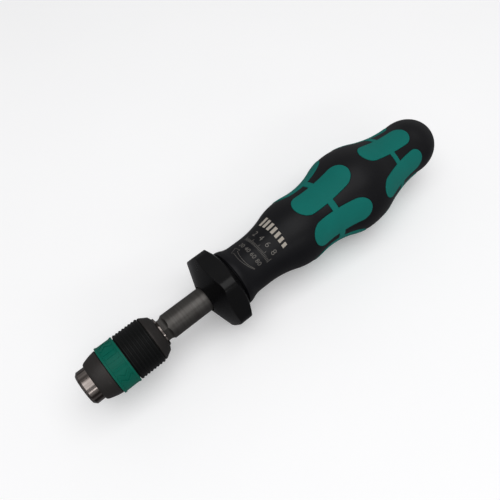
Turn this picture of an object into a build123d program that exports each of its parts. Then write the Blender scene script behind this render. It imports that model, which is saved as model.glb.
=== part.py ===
from build123d import *
import math
import os

# Torque screwdriver: a quick-change bit chuck, a slipping roller clutch and a two-component handle.
# X is the tool axis. x is 0 at the mouth of the bit socket and grows towards the end of the handle.
# Z points up, and one flat of the hexagonal guard faces down.
# Lengths are in millimetres. Names end in _r for a radius, _af for a width across flats,
# _x for a place along the axis and _at for a distance from the front of the handle.

# Clearances
running_gap = 0.05      # round pieces that turn or slide in each other
sleeve_gap = 0.08       # sleeve on the nose, which has to shed dirt
bond_gap = 0.02         # pressed, glued or moulded joints
face_gap = 0.05         # end faces that pass each other
coil_gap = 0.15         # the slanting end of a spring and its seat
shell_gap = 0.3         # open gap between the guard and the handle rim

# Bit socket and chuck body
socket_af = 6.4
socket_depth = 12.0
nose_r = 5.6
nose_chamfer = 0.8
mouth_chamfer = 0.4
body_wall = 1.05        # round the socket for the shaft
chamber_length = 8.7
shank_depth = 7.0
body_chamfer = 0.5
body_chamfer_length = 0.25

# Lock balls
ball_x = 8.0
ball_bite = 0.8         # how far a ball stands into the socket, and how far it backs out

# Sleeve
sleeve_x = 3.5
sleeve_travel = 3.0
sleeve_edge_wall = 0.47
sleeve_lip_step = 0.3
sleeve_lip_length = 0.4
cone_length = 4.8
cone_step = 0.5         # edge of the cone above the seat of the rings
cone_bulge = 0.16
ramp_step = 0.04
sleeve_wall = 0.58      # under the rings, round the spring chamber
flange_thickness = 3.6
ring_seam = 0.2
color_ring_length = 5.9
color_ring_thickness = 1.0
color_ring_rim = 0.7
color_ring_recess = 0.18
grip_thickness = 0.9
rib_count = 8
rib_pitch = 1.1
rib_depth = 0.42
cap_step = 0.66         # front edge of the cap above the seat of the rings
cap_bevel_length = 0.6
cap_bevel_drop = 0.17
cap_cone_length = 2.25
cap_rear_step = 0.88
cap_rear_wall = 0.8
cap_length = 3.3

# Sleeve spring, washer and retaining ring
spring_washer_thickness = 0.8
spring_washer_gap = 0.22
return_wire = 0.7
return_turns = 3.5
retaining_ring_thickness = 0.6
retaining_ring_height = 0.4
ring_groove_depth = 0.4
retaining_ring_opening = 70.0
ring_land = 0.2

# Ejector and bit magnet
ejector_nose_r = 2.5
ejector_nose_length = 2.2
ejector_flange_r = 3.38
ejector_flange_thickness = 1.2
ejector_stem_r = 1.3
ejector_stem_length = 2.8
magnet_r = 1.5
magnet_length = 1.8
ejector_wire = 0.5
ejector_turns = 4.5
ejector_spring_r = 2.3

# Output shaft
shank_af = 7.0
neck_flat_length = 0.8
runout_r = 1.6
shaft_r = 4.3
shaft_show = 16.9
shank_chamfer = 0.5
collar_gap = 0.4        # round the shaft's collar in the tube
collar_length = 2.2
spigot_r = 3.0

# Hexagonal guard
guard_af = 26.0
guard_corner_r = 14.38
guard_bore_r = 4.6
guard_mouth_r = 5.2
guard_nose_wall = 4.0
guard_front_cone = 3.4
guard_flat_length = 4.4
guard_bevel_length = 0.8
guard_bevel_r = 13.0
guard_rear_length = 1.7
guard_rear_r = 10.0

# Inner tube, bush and thrust washer
tube_wall = 1.2
key_depth = 0.6
key_width = 2.4
key_root = 0.7          # how deep a tab is rooted in its disc
bush_wall = 1.63
bush_length = 6.5
bush_groove_width = 1.6
bush_groove_depth = 0.4
thrust_washer_thickness = 0.8
key_lead_in = 5.0

# Clutch
detent_gap = 0.3        # round the disc in the tube
detent_thickness = 3.6
groove_count = 12
roller_count = 6
roller_r = 0.9
roller_root = 0.25      # from the spigot to a roller's inner end
roller_setback = 0.15   # from a roller's outer end to the rim of the detent disc
roller_sink = 0.4       # how deep a roller lies in a groove of the detent disc
lift_travel = 0.55
pin_r = 0.8
pin_setback = 0.4       # ahead of the middle of the disc, clear of the grooves
pin_end_gap = 0.1
drive_thickness = 3.7
drive_boss_gap = 0.5    # inside the coils of the spring
drive_boss_length = 3.0
drive_boss_wall = 0.6
spigot_reach = 3.0

# Main spring and torque setting
main_spring_length = 38.0
main_wire = 1.5
main_turns = 7.0
main_spring_gap = 0.5   # round the coils in the tube
nut_length = 6.0
nut_boss_gap = 0.4      # inside the coils of the spring
nut_boss_length = 2.5
nut_travel = 5.0
screw_r = 3.0
screw_tip = 1.5
screw_collar_gap = 1.0  # round the collar in the tube
screw_collar_length = 2.2
rear_bearing_wall = 1.93
key_af = 4.0
key_depth_in_head = 5.0
head_recess = 1.0
rear_bearing_length = 8.0

# Handle outline: the runs between its high and low rings, and their radii
handle_spigot_r = 9.5
rim_round = 0.4
rim_r = 10.1
rim_run = 5.5
neck_length = 4.0
neck_r = 8.9
swell_run = 19.2
swell_r = 12.25
saddle_run = 7.1
saddle_r = 11.8
palm_run = 19.7
palm_r = 15.6
waist_run = 29.0
waist_r = 10.55
tail_run = 3.4
tail_r = 10.65
dome_length = 11.6

# Each run between two of those rings is two arcs: the first one's share of it
rim_share = 0.35
neck_share = 0.62
saddle_share = 0.5
palm_share = 0.62
waist_share = 0.34
tail_share = 0.5

# Soft inlays of the handle
petal_count = 6
inlay_depth = 1.6
inlay_proud = 0.15
inlay_seam = 0.06
front_petal_ahead = 15.3    # its middle ahead of the palm's high ring
front_petal_length = 24.2
front_petal_width = 9.2
front_link_width = 2.5
rear_petal_behind = 16.7    # its middle behind the palm's high ring
rear_petal_length = 25.4
rear_petal_width = 8.2
rear_link_width = 2.4

# Rear plug over the key channel
key_channel_r = 4.2
plug_stem_length = 7.0
plug_stem_gap = 0.1
plug_head_r = 5.0
plug_head_length = 3.8
plug_notch_r = 1.1

# Distances from the front of the handle
neck_at = rim_round + rim_run
neck_end_at = neck_at + neck_length
swell_at = neck_end_at + swell_run
saddle_at = swell_at + saddle_run
palm_at = saddle_at + palm_run
waist_at = palm_at + waist_run
tail_at = waist_at + tail_run
handle_length = tail_at + dome_length
front_petal_at = palm_at - front_petal_ahead
rear_petal_at = palm_at + rear_petal_behind

# Places along the axis, front to rear
shoulder_x = socket_depth
chamber_end_x = socket_depth + chamber_length
body_end_x = chamber_end_x + shank_depth
ring_end_x = body_end_x - ring_land
ring_x = ring_end_x - retaining_ring_thickness
cap_x = ring_x - cap_length
grip_length = rib_count * rib_pitch
grip_x = cap_x - ring_seam - grip_length
color_ring_x = grip_x - ring_seam - color_ring_length
cone_end_x = sleeve_x + cone_length
flange_x = cap_x - flange_thickness
washer_x = flange_x - spring_washer_thickness
shaft_round_x = body_end_x + neck_flat_length
guard_x = body_end_x + shaft_show
guard_body_x = guard_x + guard_front_cone
guard_bevel_x = guard_body_x + guard_flat_length
guard_back_x = guard_bevel_x + guard_bevel_length
guard_end_x = guard_back_x + guard_rear_length
handle_x = guard_end_x + shell_gap
handle_end_x = handle_x + handle_length
tube_x = guard_x + guard_nose_wall
bush_end_x = tube_x + bush_length
collar_x = bush_end_x + thrust_washer_thickness + face_gap
detent_x = collar_x + collar_length
detent_end_x = detent_x + detent_thickness
roller_x = detent_end_x - roller_sink + roller_r
drive_x = detent_end_x + lift_travel
drive_end_x = drive_x + drive_thickness
pin_x = detent_x + detent_thickness / 2 - pin_setback
nut_x = drive_end_x + main_spring_length
nut_end_x = nut_x + nut_length
screw_x = nut_x - nut_boss_length - nut_travel - screw_tip
screw_collar_x = nut_end_x + shell_gap
rear_bearing_x = screw_collar_x + screw_collar_length
rear_bearing_end_x = rear_bearing_x + rear_bearing_length
tube_end_x = rear_bearing_end_x + key_lead_in
plug_seat_x = handle_end_x - plug_head_length
plug_stem_x = plug_seat_x - plug_stem_length

# Radii that follow from the pieces inside or around
shank_r = shank_af / 2
chamber_r = shank_r
sleeve_bore_r = nose_r + sleeve_gap
ramp_r = sleeve_bore_r + ramp_step
spring_chamber_r = ramp_r + ball_bite
sleeve_seat_r = spring_chamber_r + sleeve_wall
sleeve_edge_r = sleeve_bore_r + sleeve_edge_wall
sleeve_lip_r = sleeve_edge_r + sleeve_lip_step
cone_r = sleeve_seat_r + cone_step
color_ring_r = sleeve_seat_r + color_ring_thickness
grip_r = sleeve_seat_r + grip_thickness
ball_inner_r = socket_af / 2 - ball_bite
ball_r = (nose_r - ball_inner_r) / 2
ball_centre_r = nose_r - ball_r
body_r = shank_r + body_wall
cap_front_r = sleeve_seat_r + cap_step
cap_bevel_r = cap_front_r - cap_bevel_drop
cap_rear_r = body_r + cap_rear_wall
cap_cone_r = cap_rear_r + cap_rear_step
spring_washer_r = spring_chamber_r - spring_washer_gap
groove_r = body_r - ring_groove_depth
retaining_ring_r = body_r + retaining_ring_height
tube_bore_r = shaft_r + bush_wall + (running_gap + bond_gap)
tube_r = tube_bore_r + tube_wall
collar_r = tube_bore_r - collar_gap
detent_r = tube_bore_r - detent_gap
roller_inner_r = spigot_r + roller_root
roller_length = detent_r - roller_setback - roller_inner_r
main_coil_r = tube_bore_r - main_spring_gap - main_wire / 2
coils_inner_r = main_coil_r - main_wire / 2
drive_boss_r = coils_inner_r - drive_boss_gap
drive_hole_r = drive_boss_r - drive_boss_wall
nut_boss_r = coils_inner_r - nut_boss_gap
screw_collar_r = tube_bore_r - screw_collar_gap
screw_head_r = tube_bore_r - bond_gap - rear_bearing_wall - running_gap
past = 1.0              # how far a cutter reaches past the face that it cuts
coil_steps = 16         # straight runs in one turn of a spring
lengthwise = (Align.MIN, Align.CENTER, Align.CENTER)


def turned(points):
    """Solid of revolution about the tool axis from a closed outline of (x, radius) corners."""
    return revolve(make_face(Polyline(*points, close=True)), axis=Axis.X)


def ring(start, end, outer, inner=0.0):
    """Plain ring, or a disc where inner is 0, between two places on the axis."""
    return turned([(start, inner), (end, inner), (end, outer), (start, outer)])


def hex_bar(across_flats, start, end):
    """Hexagonal bar along the axis with one flat facing down."""
    face = Plane.YZ * RegularPolygon(across_flats / 2, 6, major_radius=False)
    return Pos(start, 0, 0) * extrude(face, end - start)


def around(solid, count):
    """Copies of a solid, evenly spaced about the tool axis."""
    return [Rot(360 / count * step, 0, 0) * solid for step in range(count)]


def coil(start, end, wire, turns, coil_r):
    """Compression spring of square wire in short straight runs, from start to end."""
    rise = end - start - wire - 2 * coil_gap
    steps = round(turns * coil_steps)
    points = []
    for step in range(steps + 1):
        angle = 2 * math.pi * step / coil_steps
        x = start + coil_gap + wire / 2 + rise * step / steps
        points.append((x, coil_r * math.cos(angle), coil_r * math.sin(angle)))
    path = Polyline(*points)
    section = Plane(origin=path @ 0, x_dir=(1, 0, 0), z_dir=path % 0) * Rectangle(wire, wire)
    return sweep(section, path=path, transition=Transition.RIGHT)


def make_chuck_body():
    """Steel body with the bit socket, the ball holes and the groove of the retaining ring."""
    body = turned([
        (0, 0), (0, nose_r - nose_chamfer), (nose_chamfer, nose_r), (shoulder_x, nose_r),
        (shoulder_x, body_r), (ring_x, body_r), (ring_x, groove_r), (ring_end_x, groove_r),
        (ring_end_x, body_r), (body_end_x - body_chamfer_length, body_r),
        (body_end_x, body_r - body_chamfer), (body_end_x, 0),
    ])
    body -= hex_bar(socket_af, -past, socket_depth + past)
    body -= ring(socket_depth, chamber_end_x, chamber_r)
    body -= hex_bar(shank_af + 2 * bond_gap, chamber_end_x - past, body_end_x + past)
    mouth_r = socket_af / math.sqrt(3)
    body -= turned([(0, 0), (0, mouth_r), (mouth_chamfer, mouth_r - mouth_chamfer), (mouth_chamfer, 0)])
    ball_hole = Pos(ball_x, 0, 0) * Cylinder(ball_r + running_gap, 2 * nose_r + past)
    return body - ball_hole


def make_lock_ball(side):
    """Ball in its radial hole. side is 1 above the axis and -1 below it."""
    return Pos(ball_x, 0, side * ball_centre_r) * Sphere(ball_r)


def make_sleeve_core():
    """Metal sleeve with the ball ramp, the spring chamber and the inner flange at its rear."""
    front = sleeve_x + sleeve_lip_length
    middle = ((front + cone_end_x) / 2, (sleeve_lip_r + cone_r) / 2 + cone_bulge)
    rear = cap_x + bond_gap
    bore_r = body_r + sleeve_gap
    outline = Polyline(
        (cone_end_x, cone_r), (cone_end_x, sleeve_seat_r), (rear, sleeve_seat_r), (rear, bore_r),
        (flange_x, bore_r), (flange_x, spring_chamber_r), (ball_x + sleeve_travel, spring_chamber_r),
        (ball_x, ramp_r), (ball_x, sleeve_bore_r), (sleeve_x, sleeve_bore_r), (sleeve_x, sleeve_edge_r),
        (front, sleeve_lip_r))
    cone = ThreePointArc((front, sleeve_lip_r), middle, (cone_end_x, cone_r))
    return revolve(make_face(outline + cone), axis=Axis.X)


def make_color_ring():
    """Coloured ring with a raised rim at each side of a shallow band."""
    start, end = color_ring_x, color_ring_x + color_ring_length
    band_r = color_ring_r - color_ring_recess
    inner = sleeve_seat_r + bond_gap
    return turned([
        (start, inner), (start, color_ring_r), (start + color_ring_rim, color_ring_r),
        (start + color_ring_rim, band_r), (end - color_ring_rim, band_r),
        (end - color_ring_rim, color_ring_r), (end, color_ring_r), (end, inner),
    ])


def make_sleeve_grip():
    """Grip with sharp ribs all round."""
    points = [(grip_x, sleeve_seat_r + bond_gap), (grip_x, grip_r - rib_depth)]
    for rib in range(rib_count):
        start = grip_x + rib * rib_pitch
        points += [(start + rib_pitch / 2, grip_r), (start + rib_pitch, grip_r - rib_depth)]
    points.append((grip_x + grip_length, sleeve_seat_r + bond_gap))
    return turned(points)


def make_sleeve_cap():
    """Rear cap that narrows to the retaining ring."""
    bevel_x = cap_x + cap_bevel_length
    return turned([
        (cap_x + bond_gap, body_r + sleeve_gap), (cap_x + bond_gap, cap_front_r), (bevel_x, cap_bevel_r),
        (bevel_x + cap_cone_length, cap_cone_r), (ring_x, cap_rear_r), (ring_x, body_r + sleeve_gap),
    ])


def make_spring_washer():
    """Washer that lets the sleeve turn without winding up its spring."""
    return ring(washer_x, flange_x, spring_washer_r, body_r + running_gap)


def make_return_spring():
    """Spring that holds the sleeve back against the retaining ring."""
    coil_r = (body_r + spring_chamber_r) / 2
    return coil(shoulder_x, washer_x, return_wire, return_turns, coil_r)


def make_retaining_ring():
    """Open ring in the groove of the chuck body, with its opening underneath."""
    whole = ring(ring_x, ring_end_x, retaining_ring_r, groove_r + bond_gap)
    reach = 2 * retaining_ring_r
    half_angle = math.radians(retaining_ring_opening / 2)
    wedge = Plane.YZ * make_face(Polyline(
        (0, 0), (reach * math.sin(half_angle), -reach * math.cos(half_angle)),
        (-reach * math.sin(half_angle), -reach * math.cos(half_angle)), close=True))
    return whole - Pos(ring_x - past, 0, 0) * extrude(wedge, retaining_ring_thickness + 2 * past)


def make_ejector():
    """Plunger that pushes the bit out, with a pocket for the magnet."""
    nose_x = shoulder_x - ejector_nose_length
    flange_end_x = shoulder_x + ejector_flange_thickness
    stem_end_x = flange_end_x + ejector_stem_length
    plunger = turned([
        (nose_x, 0), (nose_x, ejector_nose_r), (shoulder_x, ejector_nose_r),
        (shoulder_x, ejector_flange_r), (flange_end_x, ejector_flange_r),
        (flange_end_x, ejector_stem_r), (stem_end_x, ejector_stem_r), (stem_end_x, 0),
    ])
    return plunger - ring(nose_x - past, nose_x + magnet_length, magnet_r + bond_gap)


def make_magnet():
    """Disc magnet in the face of the ejector."""
    nose_x = shoulder_x - ejector_nose_length
    return ring(nose_x, nose_x + magnet_length, magnet_r)


def make_ejector_spring():
    """Spring between the ejector and the end of the shaft."""
    start = shoulder_x + ejector_flange_thickness
    return coil(start, chamber_end_x, ejector_wire, ejector_turns, ejector_spring_r)


def make_output_shaft():
    """Shaft with a hexagonal neck that ends in milled run-outs, a collar and a spigot."""
    spigot_end_x = drive_x + spigot_reach
    shaft = turned([
        (chamber_end_x, 0), (chamber_end_x, shaft_r - shank_chamfer),
        (chamber_end_x + shank_chamfer, shaft_r), (collar_x, shaft_r), (collar_x, collar_r),
        (detent_x, collar_r), (detent_x, spigot_r), (spigot_end_x, spigot_r), (spigot_end_x, 0),
    ])
    mill = Rectangle(shaft_round_x - chamber_end_x + past, 2 * runout_r, align=(Align.MAX, Align.MIN))
    mill += Pos(0, runout_r) * Circle(runout_r)
    cutter = extrude(Plane.XZ * mill, shaft_r, both=True)
    for flat in around(Pos(shaft_round_x, 0, shank_r) * cutter, 6):
        shaft -= flat
    return shaft - cross_hole(pin_r + bond_gap)


def cross_hole(radius):
    """Cylinder through the detent disc and the spigot, square to the axis."""
    return Pos(pin_x, 0, 0) * Cylinder(radius, 2 * detent_r + past)


def make_cross_pin():
    """Pin that locks the detent disc to the shaft."""
    return Pos(pin_x, 0, 0) * Cylinder(pin_r, 2 * (detent_r - pin_end_gap))


def make_guard():
    """Hexagonal nut shape with turned-off corners, a long front cone and a bevelled back."""
    blank = turned([
        (guard_x, guard_bore_r), (guard_x, guard_mouth_r), (guard_body_x, guard_corner_r),
        (guard_bevel_x, guard_corner_r), (guard_back_x, guard_bevel_r), (guard_end_x, guard_rear_r),
        (guard_end_x, tube_r + bond_gap), (tube_x, tube_r + bond_gap), (tube_x, guard_bore_r),
    ])
    return blank & hex_bar(guard_af, guard_x - past, guard_end_x + past)


def make_tube():
    """Steel tube that carries the mechanism, with two inner keyways along its length."""
    tube = ring(tube_x, tube_end_x, tube_r, tube_bore_r)
    length = tube_end_x - bush_end_x
    keyway = Box(length, 2 * (tube_bore_r + key_depth), key_width, align=lengthwise)
    return tube - Pos(bush_end_x, 0, 0) * keyway


def keyed(solid, start, length):
    """Adds the two tabs that slide in the tube's keyways."""
    reach = 2 * (tube_bore_r + key_depth - running_gap)
    width = key_width - 2 * running_gap
    tab = Box(length, reach, width, align=lengthwise)
    core = ring(start - past, start + length + past, tube_bore_r - key_root)
    return solid + (Pos(start, 0, 0) * tab - core)


def make_front_bush():
    """Bearing bush of the shaft, with an oil groove round its outside."""
    groove_x = (tube_x + bush_end_x - bush_groove_width) / 2
    outer = tube_bore_r - bond_gap
    bush = ring(tube_x, bush_end_x, outer, shaft_r + running_gap)
    return bush - ring(groove_x, groove_x + bush_groove_width, outer + past, outer - bush_groove_depth)


def make_thrust_washer():
    """Hard washer between the bush and the collar of the shaft."""
    return ring(bush_end_x, bush_end_x + thrust_washer_thickness, collar_r, shaft_r + running_gap)


def roller(radius, reach):
    """Radial roller, or the groove that one runs in, above the axis."""
    bar = Cylinder(radius, reach, align=(Align.CENTER, Align.CENTER, Align.MIN))
    return Pos(roller_x, 0, roller_inner_r) * bar


def make_detent_disc():
    """Disc on the shaft with a ring of radial grooves, which lift the rollers when it slips."""
    disc = ring(detent_x, detent_end_x, detent_r, spigot_r + bond_gap)
    groove = Pos(0, 0, -past) * roller(roller_r + running_gap, detent_r)
    for cutter in around(groove, groove_count):
        disc -= cutter
    return disc - cross_hole(pin_r + bond_gap)


def make_rollers():
    """Clutch rollers, in every second groove of the detent disc."""
    return Compound(children=around(roller(roller_r, roller_length), roller_count))


def make_drive_disc():
    """Keyed disc that holds the rollers and takes the push of the main spring."""
    disc = turned([
        (drive_x, spigot_r + running_gap), (drive_x, tube_bore_r - running_gap),
        (drive_end_x, tube_bore_r - running_gap), (drive_end_x, drive_boss_r),
        (drive_end_x + drive_boss_length, drive_boss_r),
        (drive_end_x + drive_boss_length, drive_hole_r),
        (drive_x + spigot_reach + lift_travel, drive_hole_r),
        (drive_x + spigot_reach + lift_travel, spigot_r + running_gap),
    ])
    for cutter in around(roller(roller_r + bond_gap, roller_length + bond_gap), roller_count):
        disc -= cutter
    return keyed(disc, drive_x, drive_thickness)


def make_main_spring():
    """Main spring, whose load sets the torque."""
    return coil(drive_end_x, nut_x, main_wire, main_turns, main_coil_r)


def make_adjusting_nut():
    """Keyed nut that moves along the tube and loads the spring."""
    nut = turned([
        (nut_x - nut_boss_length, screw_r + running_gap), (nut_x - nut_boss_length, nut_boss_r),
        (nut_x, nut_boss_r), (nut_x, tube_bore_r - running_gap), (nut_end_x, tube_bore_r - running_gap),
        (nut_end_x, screw_r + running_gap),
    ])
    return keyed(nut, nut_x, nut_length)


def make_adjusting_screw():
    """Screw with a collar that pulls on the rear bearing, and a hexagonal key socket."""
    head_end_x = rear_bearing_end_x - head_recess
    screw = turned([
        (screw_x, 0), (screw_x, screw_r), (screw_collar_x, screw_r),
        (screw_collar_x, screw_collar_r), (rear_bearing_x - face_gap, screw_collar_r),
        (rear_bearing_x - face_gap, screw_head_r), (head_end_x, screw_head_r), (head_end_x, 0),
    ])
    return screw - hex_bar(key_af, head_end_x - key_depth_in_head, head_end_x + past)


def make_rear_bearing():
    """Threaded bush in the end of the tube that carries the screw's head."""
    return ring(rear_bearing_x, rear_bearing_end_x, tube_bore_r - bond_gap, screw_head_r + running_gap)


def swell(start_at, start_r, end_at, end_r, share):
    """Two tangent arcs that leave and arrive along the axis. share is the first arc's part of the run."""
    start = (handle_x + start_at, start_r)
    end = (handle_x + end_at, end_r)
    middle = (start[0] + share * (end[0] - start[0]), start[1] + share * (end[1] - start[1]))
    slope = 2 * math.atan2(end_r - start_r, end_at - start_at)
    return [
        TangentArc(start, middle, tangent=(1, 0)),
        TangentArc(middle, end, tangent=(math.cos(slope), math.sin(slope))),
    ]


def handle_solid(shift=0.0):
    """Solid handle from its rim to its domed end. shift grows or shrinks every radius."""
    rim, neck, front, saddle = rim_r + shift, neck_r + shift, swell_r + shift, saddle_r + shift
    palm, waist, tail = palm_r + shift, waist_r + shift, tail_r + shift
    outline = [
        Line((handle_x, 0), (handle_x, rim - rim_round)),
        ThreePointArc(
            (handle_x, rim - rim_round),
            (handle_x + rim_round * (1 - math.sqrt(0.5)), rim - rim_round * (1 - math.sqrt(0.5))),
            (handle_x + rim_round, rim)),
        *swell(rim_round, rim, neck_at, neck, rim_share),
        Line((handle_x + neck_at, neck), (handle_x + neck_end_at, neck)),
        *swell(neck_end_at, neck, swell_at, front, neck_share),
        *swell(swell_at, front, saddle_at, saddle, saddle_share),
        *swell(saddle_at, saddle, palm_at, palm, palm_share),
        *swell(palm_at, palm, waist_at, waist, waist_share),
        *swell(waist_at, waist, tail_at, tail, tail_share),
        EllipticalCenterArc(
            (handle_x + tail_at, 0), dome_length + shift, tail, start_angle=0, arc_size=90),
        Line((handle_end_x + shift, 0), (handle_x, 0)),
    ]
    return revolve(make_face(Curve() + outline), axis=Axis.X)


def petal_ring(centre_at, length, width, link_width, trim=0.0):
    """Ring of rounded petals and their links, as prisms that reach past the handle's surface."""
    reach = palm_r + past
    outline = SlotOverall(length - 2 * trim, width - 2 * trim)
    petal = Pos(handle_x + centre_at, 0, 0) * extrude(outline, reach)
    half_link = link_width / 2 - trim
    centre_x = handle_x + centre_at
    whole = ring(centre_x - half_link, centre_x + half_link, reach)
    for copy in around(petal, petal_count):
        whole += copy
    return whole


def make_inlay(*petals):
    """Soft inlay that fills its pocket and stands a little proud of the handle."""
    shape = petal_ring(*petals, trim=inlay_seam) & handle_solid(inlay_proud)
    return shape - handle_solid(bond_gap - inlay_depth)


def make_pocket(*petals):
    """Pocket of an inlay, cut into the handle."""
    return petal_ring(*petals) - handle_solid(-inlay_depth)


front_petals = (front_petal_at, front_petal_length, front_petal_width, front_link_width)
rear_petals = (rear_petal_at, rear_petal_length, rear_petal_width, rear_link_width)


def make_handle_core():
    """Hard handle moulded round the tube, with the inlay pockets and the key channel."""
    core = handle_solid()
    core += ring(guard_end_x, handle_x + past, handle_spigot_r)
    core -= ring(guard_end_x - past, tube_end_x, tube_r + bond_gap)
    core -= ring(tube_end_x - past, handle_end_x, key_channel_r)
    core -= ring(plug_seat_x, handle_end_x + past, plug_head_r)
    core -= make_pocket(*front_petals)
    return core - make_pocket(*rear_petals)


def make_rear_plug():
    """Push-in plug whose head continues the dome, with a notch to lift it."""
    head = handle_solid() & ring(plug_seat_x, handle_end_x + past, plug_head_r - plug_stem_gap)
    stem_r = key_channel_r - plug_stem_gap
    plug = head + ring(plug_stem_x, plug_seat_x, stem_r)
    notch = Pos(handle_end_x, 0, plug_head_r) * Sphere(plug_notch_r)
    return plug - notch


pieces = {
    "chuck_body": make_chuck_body,
    "lock_ball_top": lambda: make_lock_ball(1),
    "lock_ball_bottom": lambda: make_lock_ball(-1),
    "sleeve_core": make_sleeve_core,
    "sleeve_color_ring": make_color_ring,
    "sleeve_grip": make_sleeve_grip,
    "sleeve_cap": make_sleeve_cap,
    "sleeve_return_spring": make_return_spring,
    "sleeve_spring_washer": make_spring_washer,
    "sleeve_retaining_ring": make_retaining_ring,
    "ejector_plunger": make_ejector,
    "bit_magnet": make_magnet,
    "ejector_spring": make_ejector_spring,
    "output_shaft": make_output_shaft,
    "roll_off_guard": make_guard,
    "inner_tube": make_tube,
    "front_bush": make_front_bush,
    "thrust_washer": make_thrust_washer,
    "clutch_detent_disc": make_detent_disc,
    "clutch_cross_pin": make_cross_pin,
    "clutch_rollers": make_rollers,
    "clutch_drive_disc": make_drive_disc,
    "main_spring": make_main_spring,
    "adjusting_nut": make_adjusting_nut,
    "adjusting_screw": make_adjusting_screw,
    "rear_bearing": make_rear_bearing,
    "handle_core": make_handle_core,
    "front_inlay": lambda: make_inlay(*front_petals),
    "rear_inlay": lambda: make_inlay(*rear_petals),
    "rear_plug": make_rear_plug,
}

os.makedirs("parts", exist_ok=True)
for name, make in pieces.items():
    export_step(make(), f"parts/{name}.step")
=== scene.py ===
"""Torque screwdriver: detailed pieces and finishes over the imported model, on a pale floor."""
import logging
import math
from dataclasses import dataclass
from enum import Enum
from functools import cache, cached_property
from typing import Callable, Optional, Sequence

import bmesh
import bpy
from mathutils import Matrix, Vector
from mathutils.geometry import delaunay_2d_cdt


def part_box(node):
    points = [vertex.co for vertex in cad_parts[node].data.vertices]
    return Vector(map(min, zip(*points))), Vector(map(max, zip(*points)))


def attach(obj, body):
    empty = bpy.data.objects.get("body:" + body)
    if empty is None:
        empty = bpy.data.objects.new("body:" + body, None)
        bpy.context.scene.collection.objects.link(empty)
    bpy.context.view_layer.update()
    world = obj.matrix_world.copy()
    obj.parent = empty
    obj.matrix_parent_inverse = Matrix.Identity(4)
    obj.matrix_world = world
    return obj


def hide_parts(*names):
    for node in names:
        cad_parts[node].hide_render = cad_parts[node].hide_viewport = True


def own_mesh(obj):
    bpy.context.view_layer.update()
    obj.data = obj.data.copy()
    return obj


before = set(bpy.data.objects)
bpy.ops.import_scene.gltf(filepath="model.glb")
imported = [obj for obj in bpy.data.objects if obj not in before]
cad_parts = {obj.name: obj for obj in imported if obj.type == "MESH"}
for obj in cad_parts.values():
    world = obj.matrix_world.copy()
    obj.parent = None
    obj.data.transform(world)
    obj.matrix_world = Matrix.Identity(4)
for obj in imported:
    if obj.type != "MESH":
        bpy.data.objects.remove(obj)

# Sizes are in millimetres and become metres where a vertex is made. X is the tool axis.
# An angle round the axis is 0 on top and grows towards the camera's side, which is -Y.
MM = 0.001
SECTORS = 6
MERGE = 1e-7  # Points nearer to each other than this, in metres, are one point.
SHARP = 32.0  # Edges that turn by more than this, in degrees, stay sharp.
WHITE = (1.0, 1.0, 1.0, 1.0)
log = logging.getLogger("torque_screwdriver")

Point = tuple[float, float]
Outline = list[Point]
Rule = Callable[[float, float, float], float]
Mesh = bmesh.types.BMesh
Piece = bpy.types.Object
Tree = bpy.types.NodeTree
Socket = bpy.types.NodeSocket


class Body(Enum):
    """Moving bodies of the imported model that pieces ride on."""

    HANDLE = "handle"
    OUTPUT = "output"
    SLEEVE = "sleeve"
    END_PLUG = "end_plug"


class Stretch(Enum):
    """Direction that a finish's grain runs in, as a scale of its pattern along X, Y and Z."""

    EVEN = (1.0, 1.0, 1.0)
    LENGTHWISE = (0.06, 1.0, 1.0)
    TURNED = (1.0, 0.04, 0.04)


# Small shape functions

def position(x: float, radius: float, angle: float) -> Vector:
    """Place a point by its distance along the axis, its radius and its angle.

    Args:
        x: Distance along the axis, in millimetres.
        radius: Distance from the axis, in millimetres.
        angle: Angle round the axis, in radians.

    Returns:
        The point in metres.
    """
    return Vector((x, -radius * math.sin(angle), radius * math.cos(angle))) * MM


def polar(point: Vector) -> tuple[float, float, float]:
    """Read a point back as distance along the axis, radius and angle.

    Args:
        point: A point in metres.

    Returns:
        Distance and radius in millimetres, and the angle in radians.
    """
    return point.x / MM, math.hypot(point.y, point.z) / MM, math.atan2(-point.y, point.z)


@cache
def ends(node: str) -> tuple[float, float]:
    """Read where a CAD node starts and ends along the tool's axis.

    Args:
        node: Name of the node.

    Returns:
        Its front and its rear, in millimetres.
    """
    low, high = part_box(node)
    return low.x / MM, high.x / MM


def folded(angle: float) -> float:
    """Bring an angle into the sector round the nearest flat.

    Args:
        angle: Angle round the axis, in radians.

    Returns:
        The angle from the middle of its sector, in radians.
    """
    pitch = math.tau / SECTORS
    return (angle + pitch / 2) % pitch - pitch / 2


def hexagon(angle: float, across_flats: float) -> float:
    """Give the radius of a hexagon with a flat on top.

    Args:
        angle: Angle round the axis, in radians.
        across_flats: Width across the flats.

    Returns:
        The distance from the axis to the hexagon at that angle.
    """
    return across_flats / 2 / math.cos(folded(angle))


def soft_min(first: float, second: float, blend: float) -> float:
    """Take the smaller of two radii, with a rounded change between them.

    Args:
        first: One radius.
        second: The other radius.
        blend: Difference of radii over which the two flow into each other.

    Returns:
        The blended radius, never more than the smaller one.
    """
    share = min(max(0.5 + 0.5 * (second - first) / blend, 0.0), 1.0)
    return second + (first - second) * share - blend * share * (1 - share)


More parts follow.
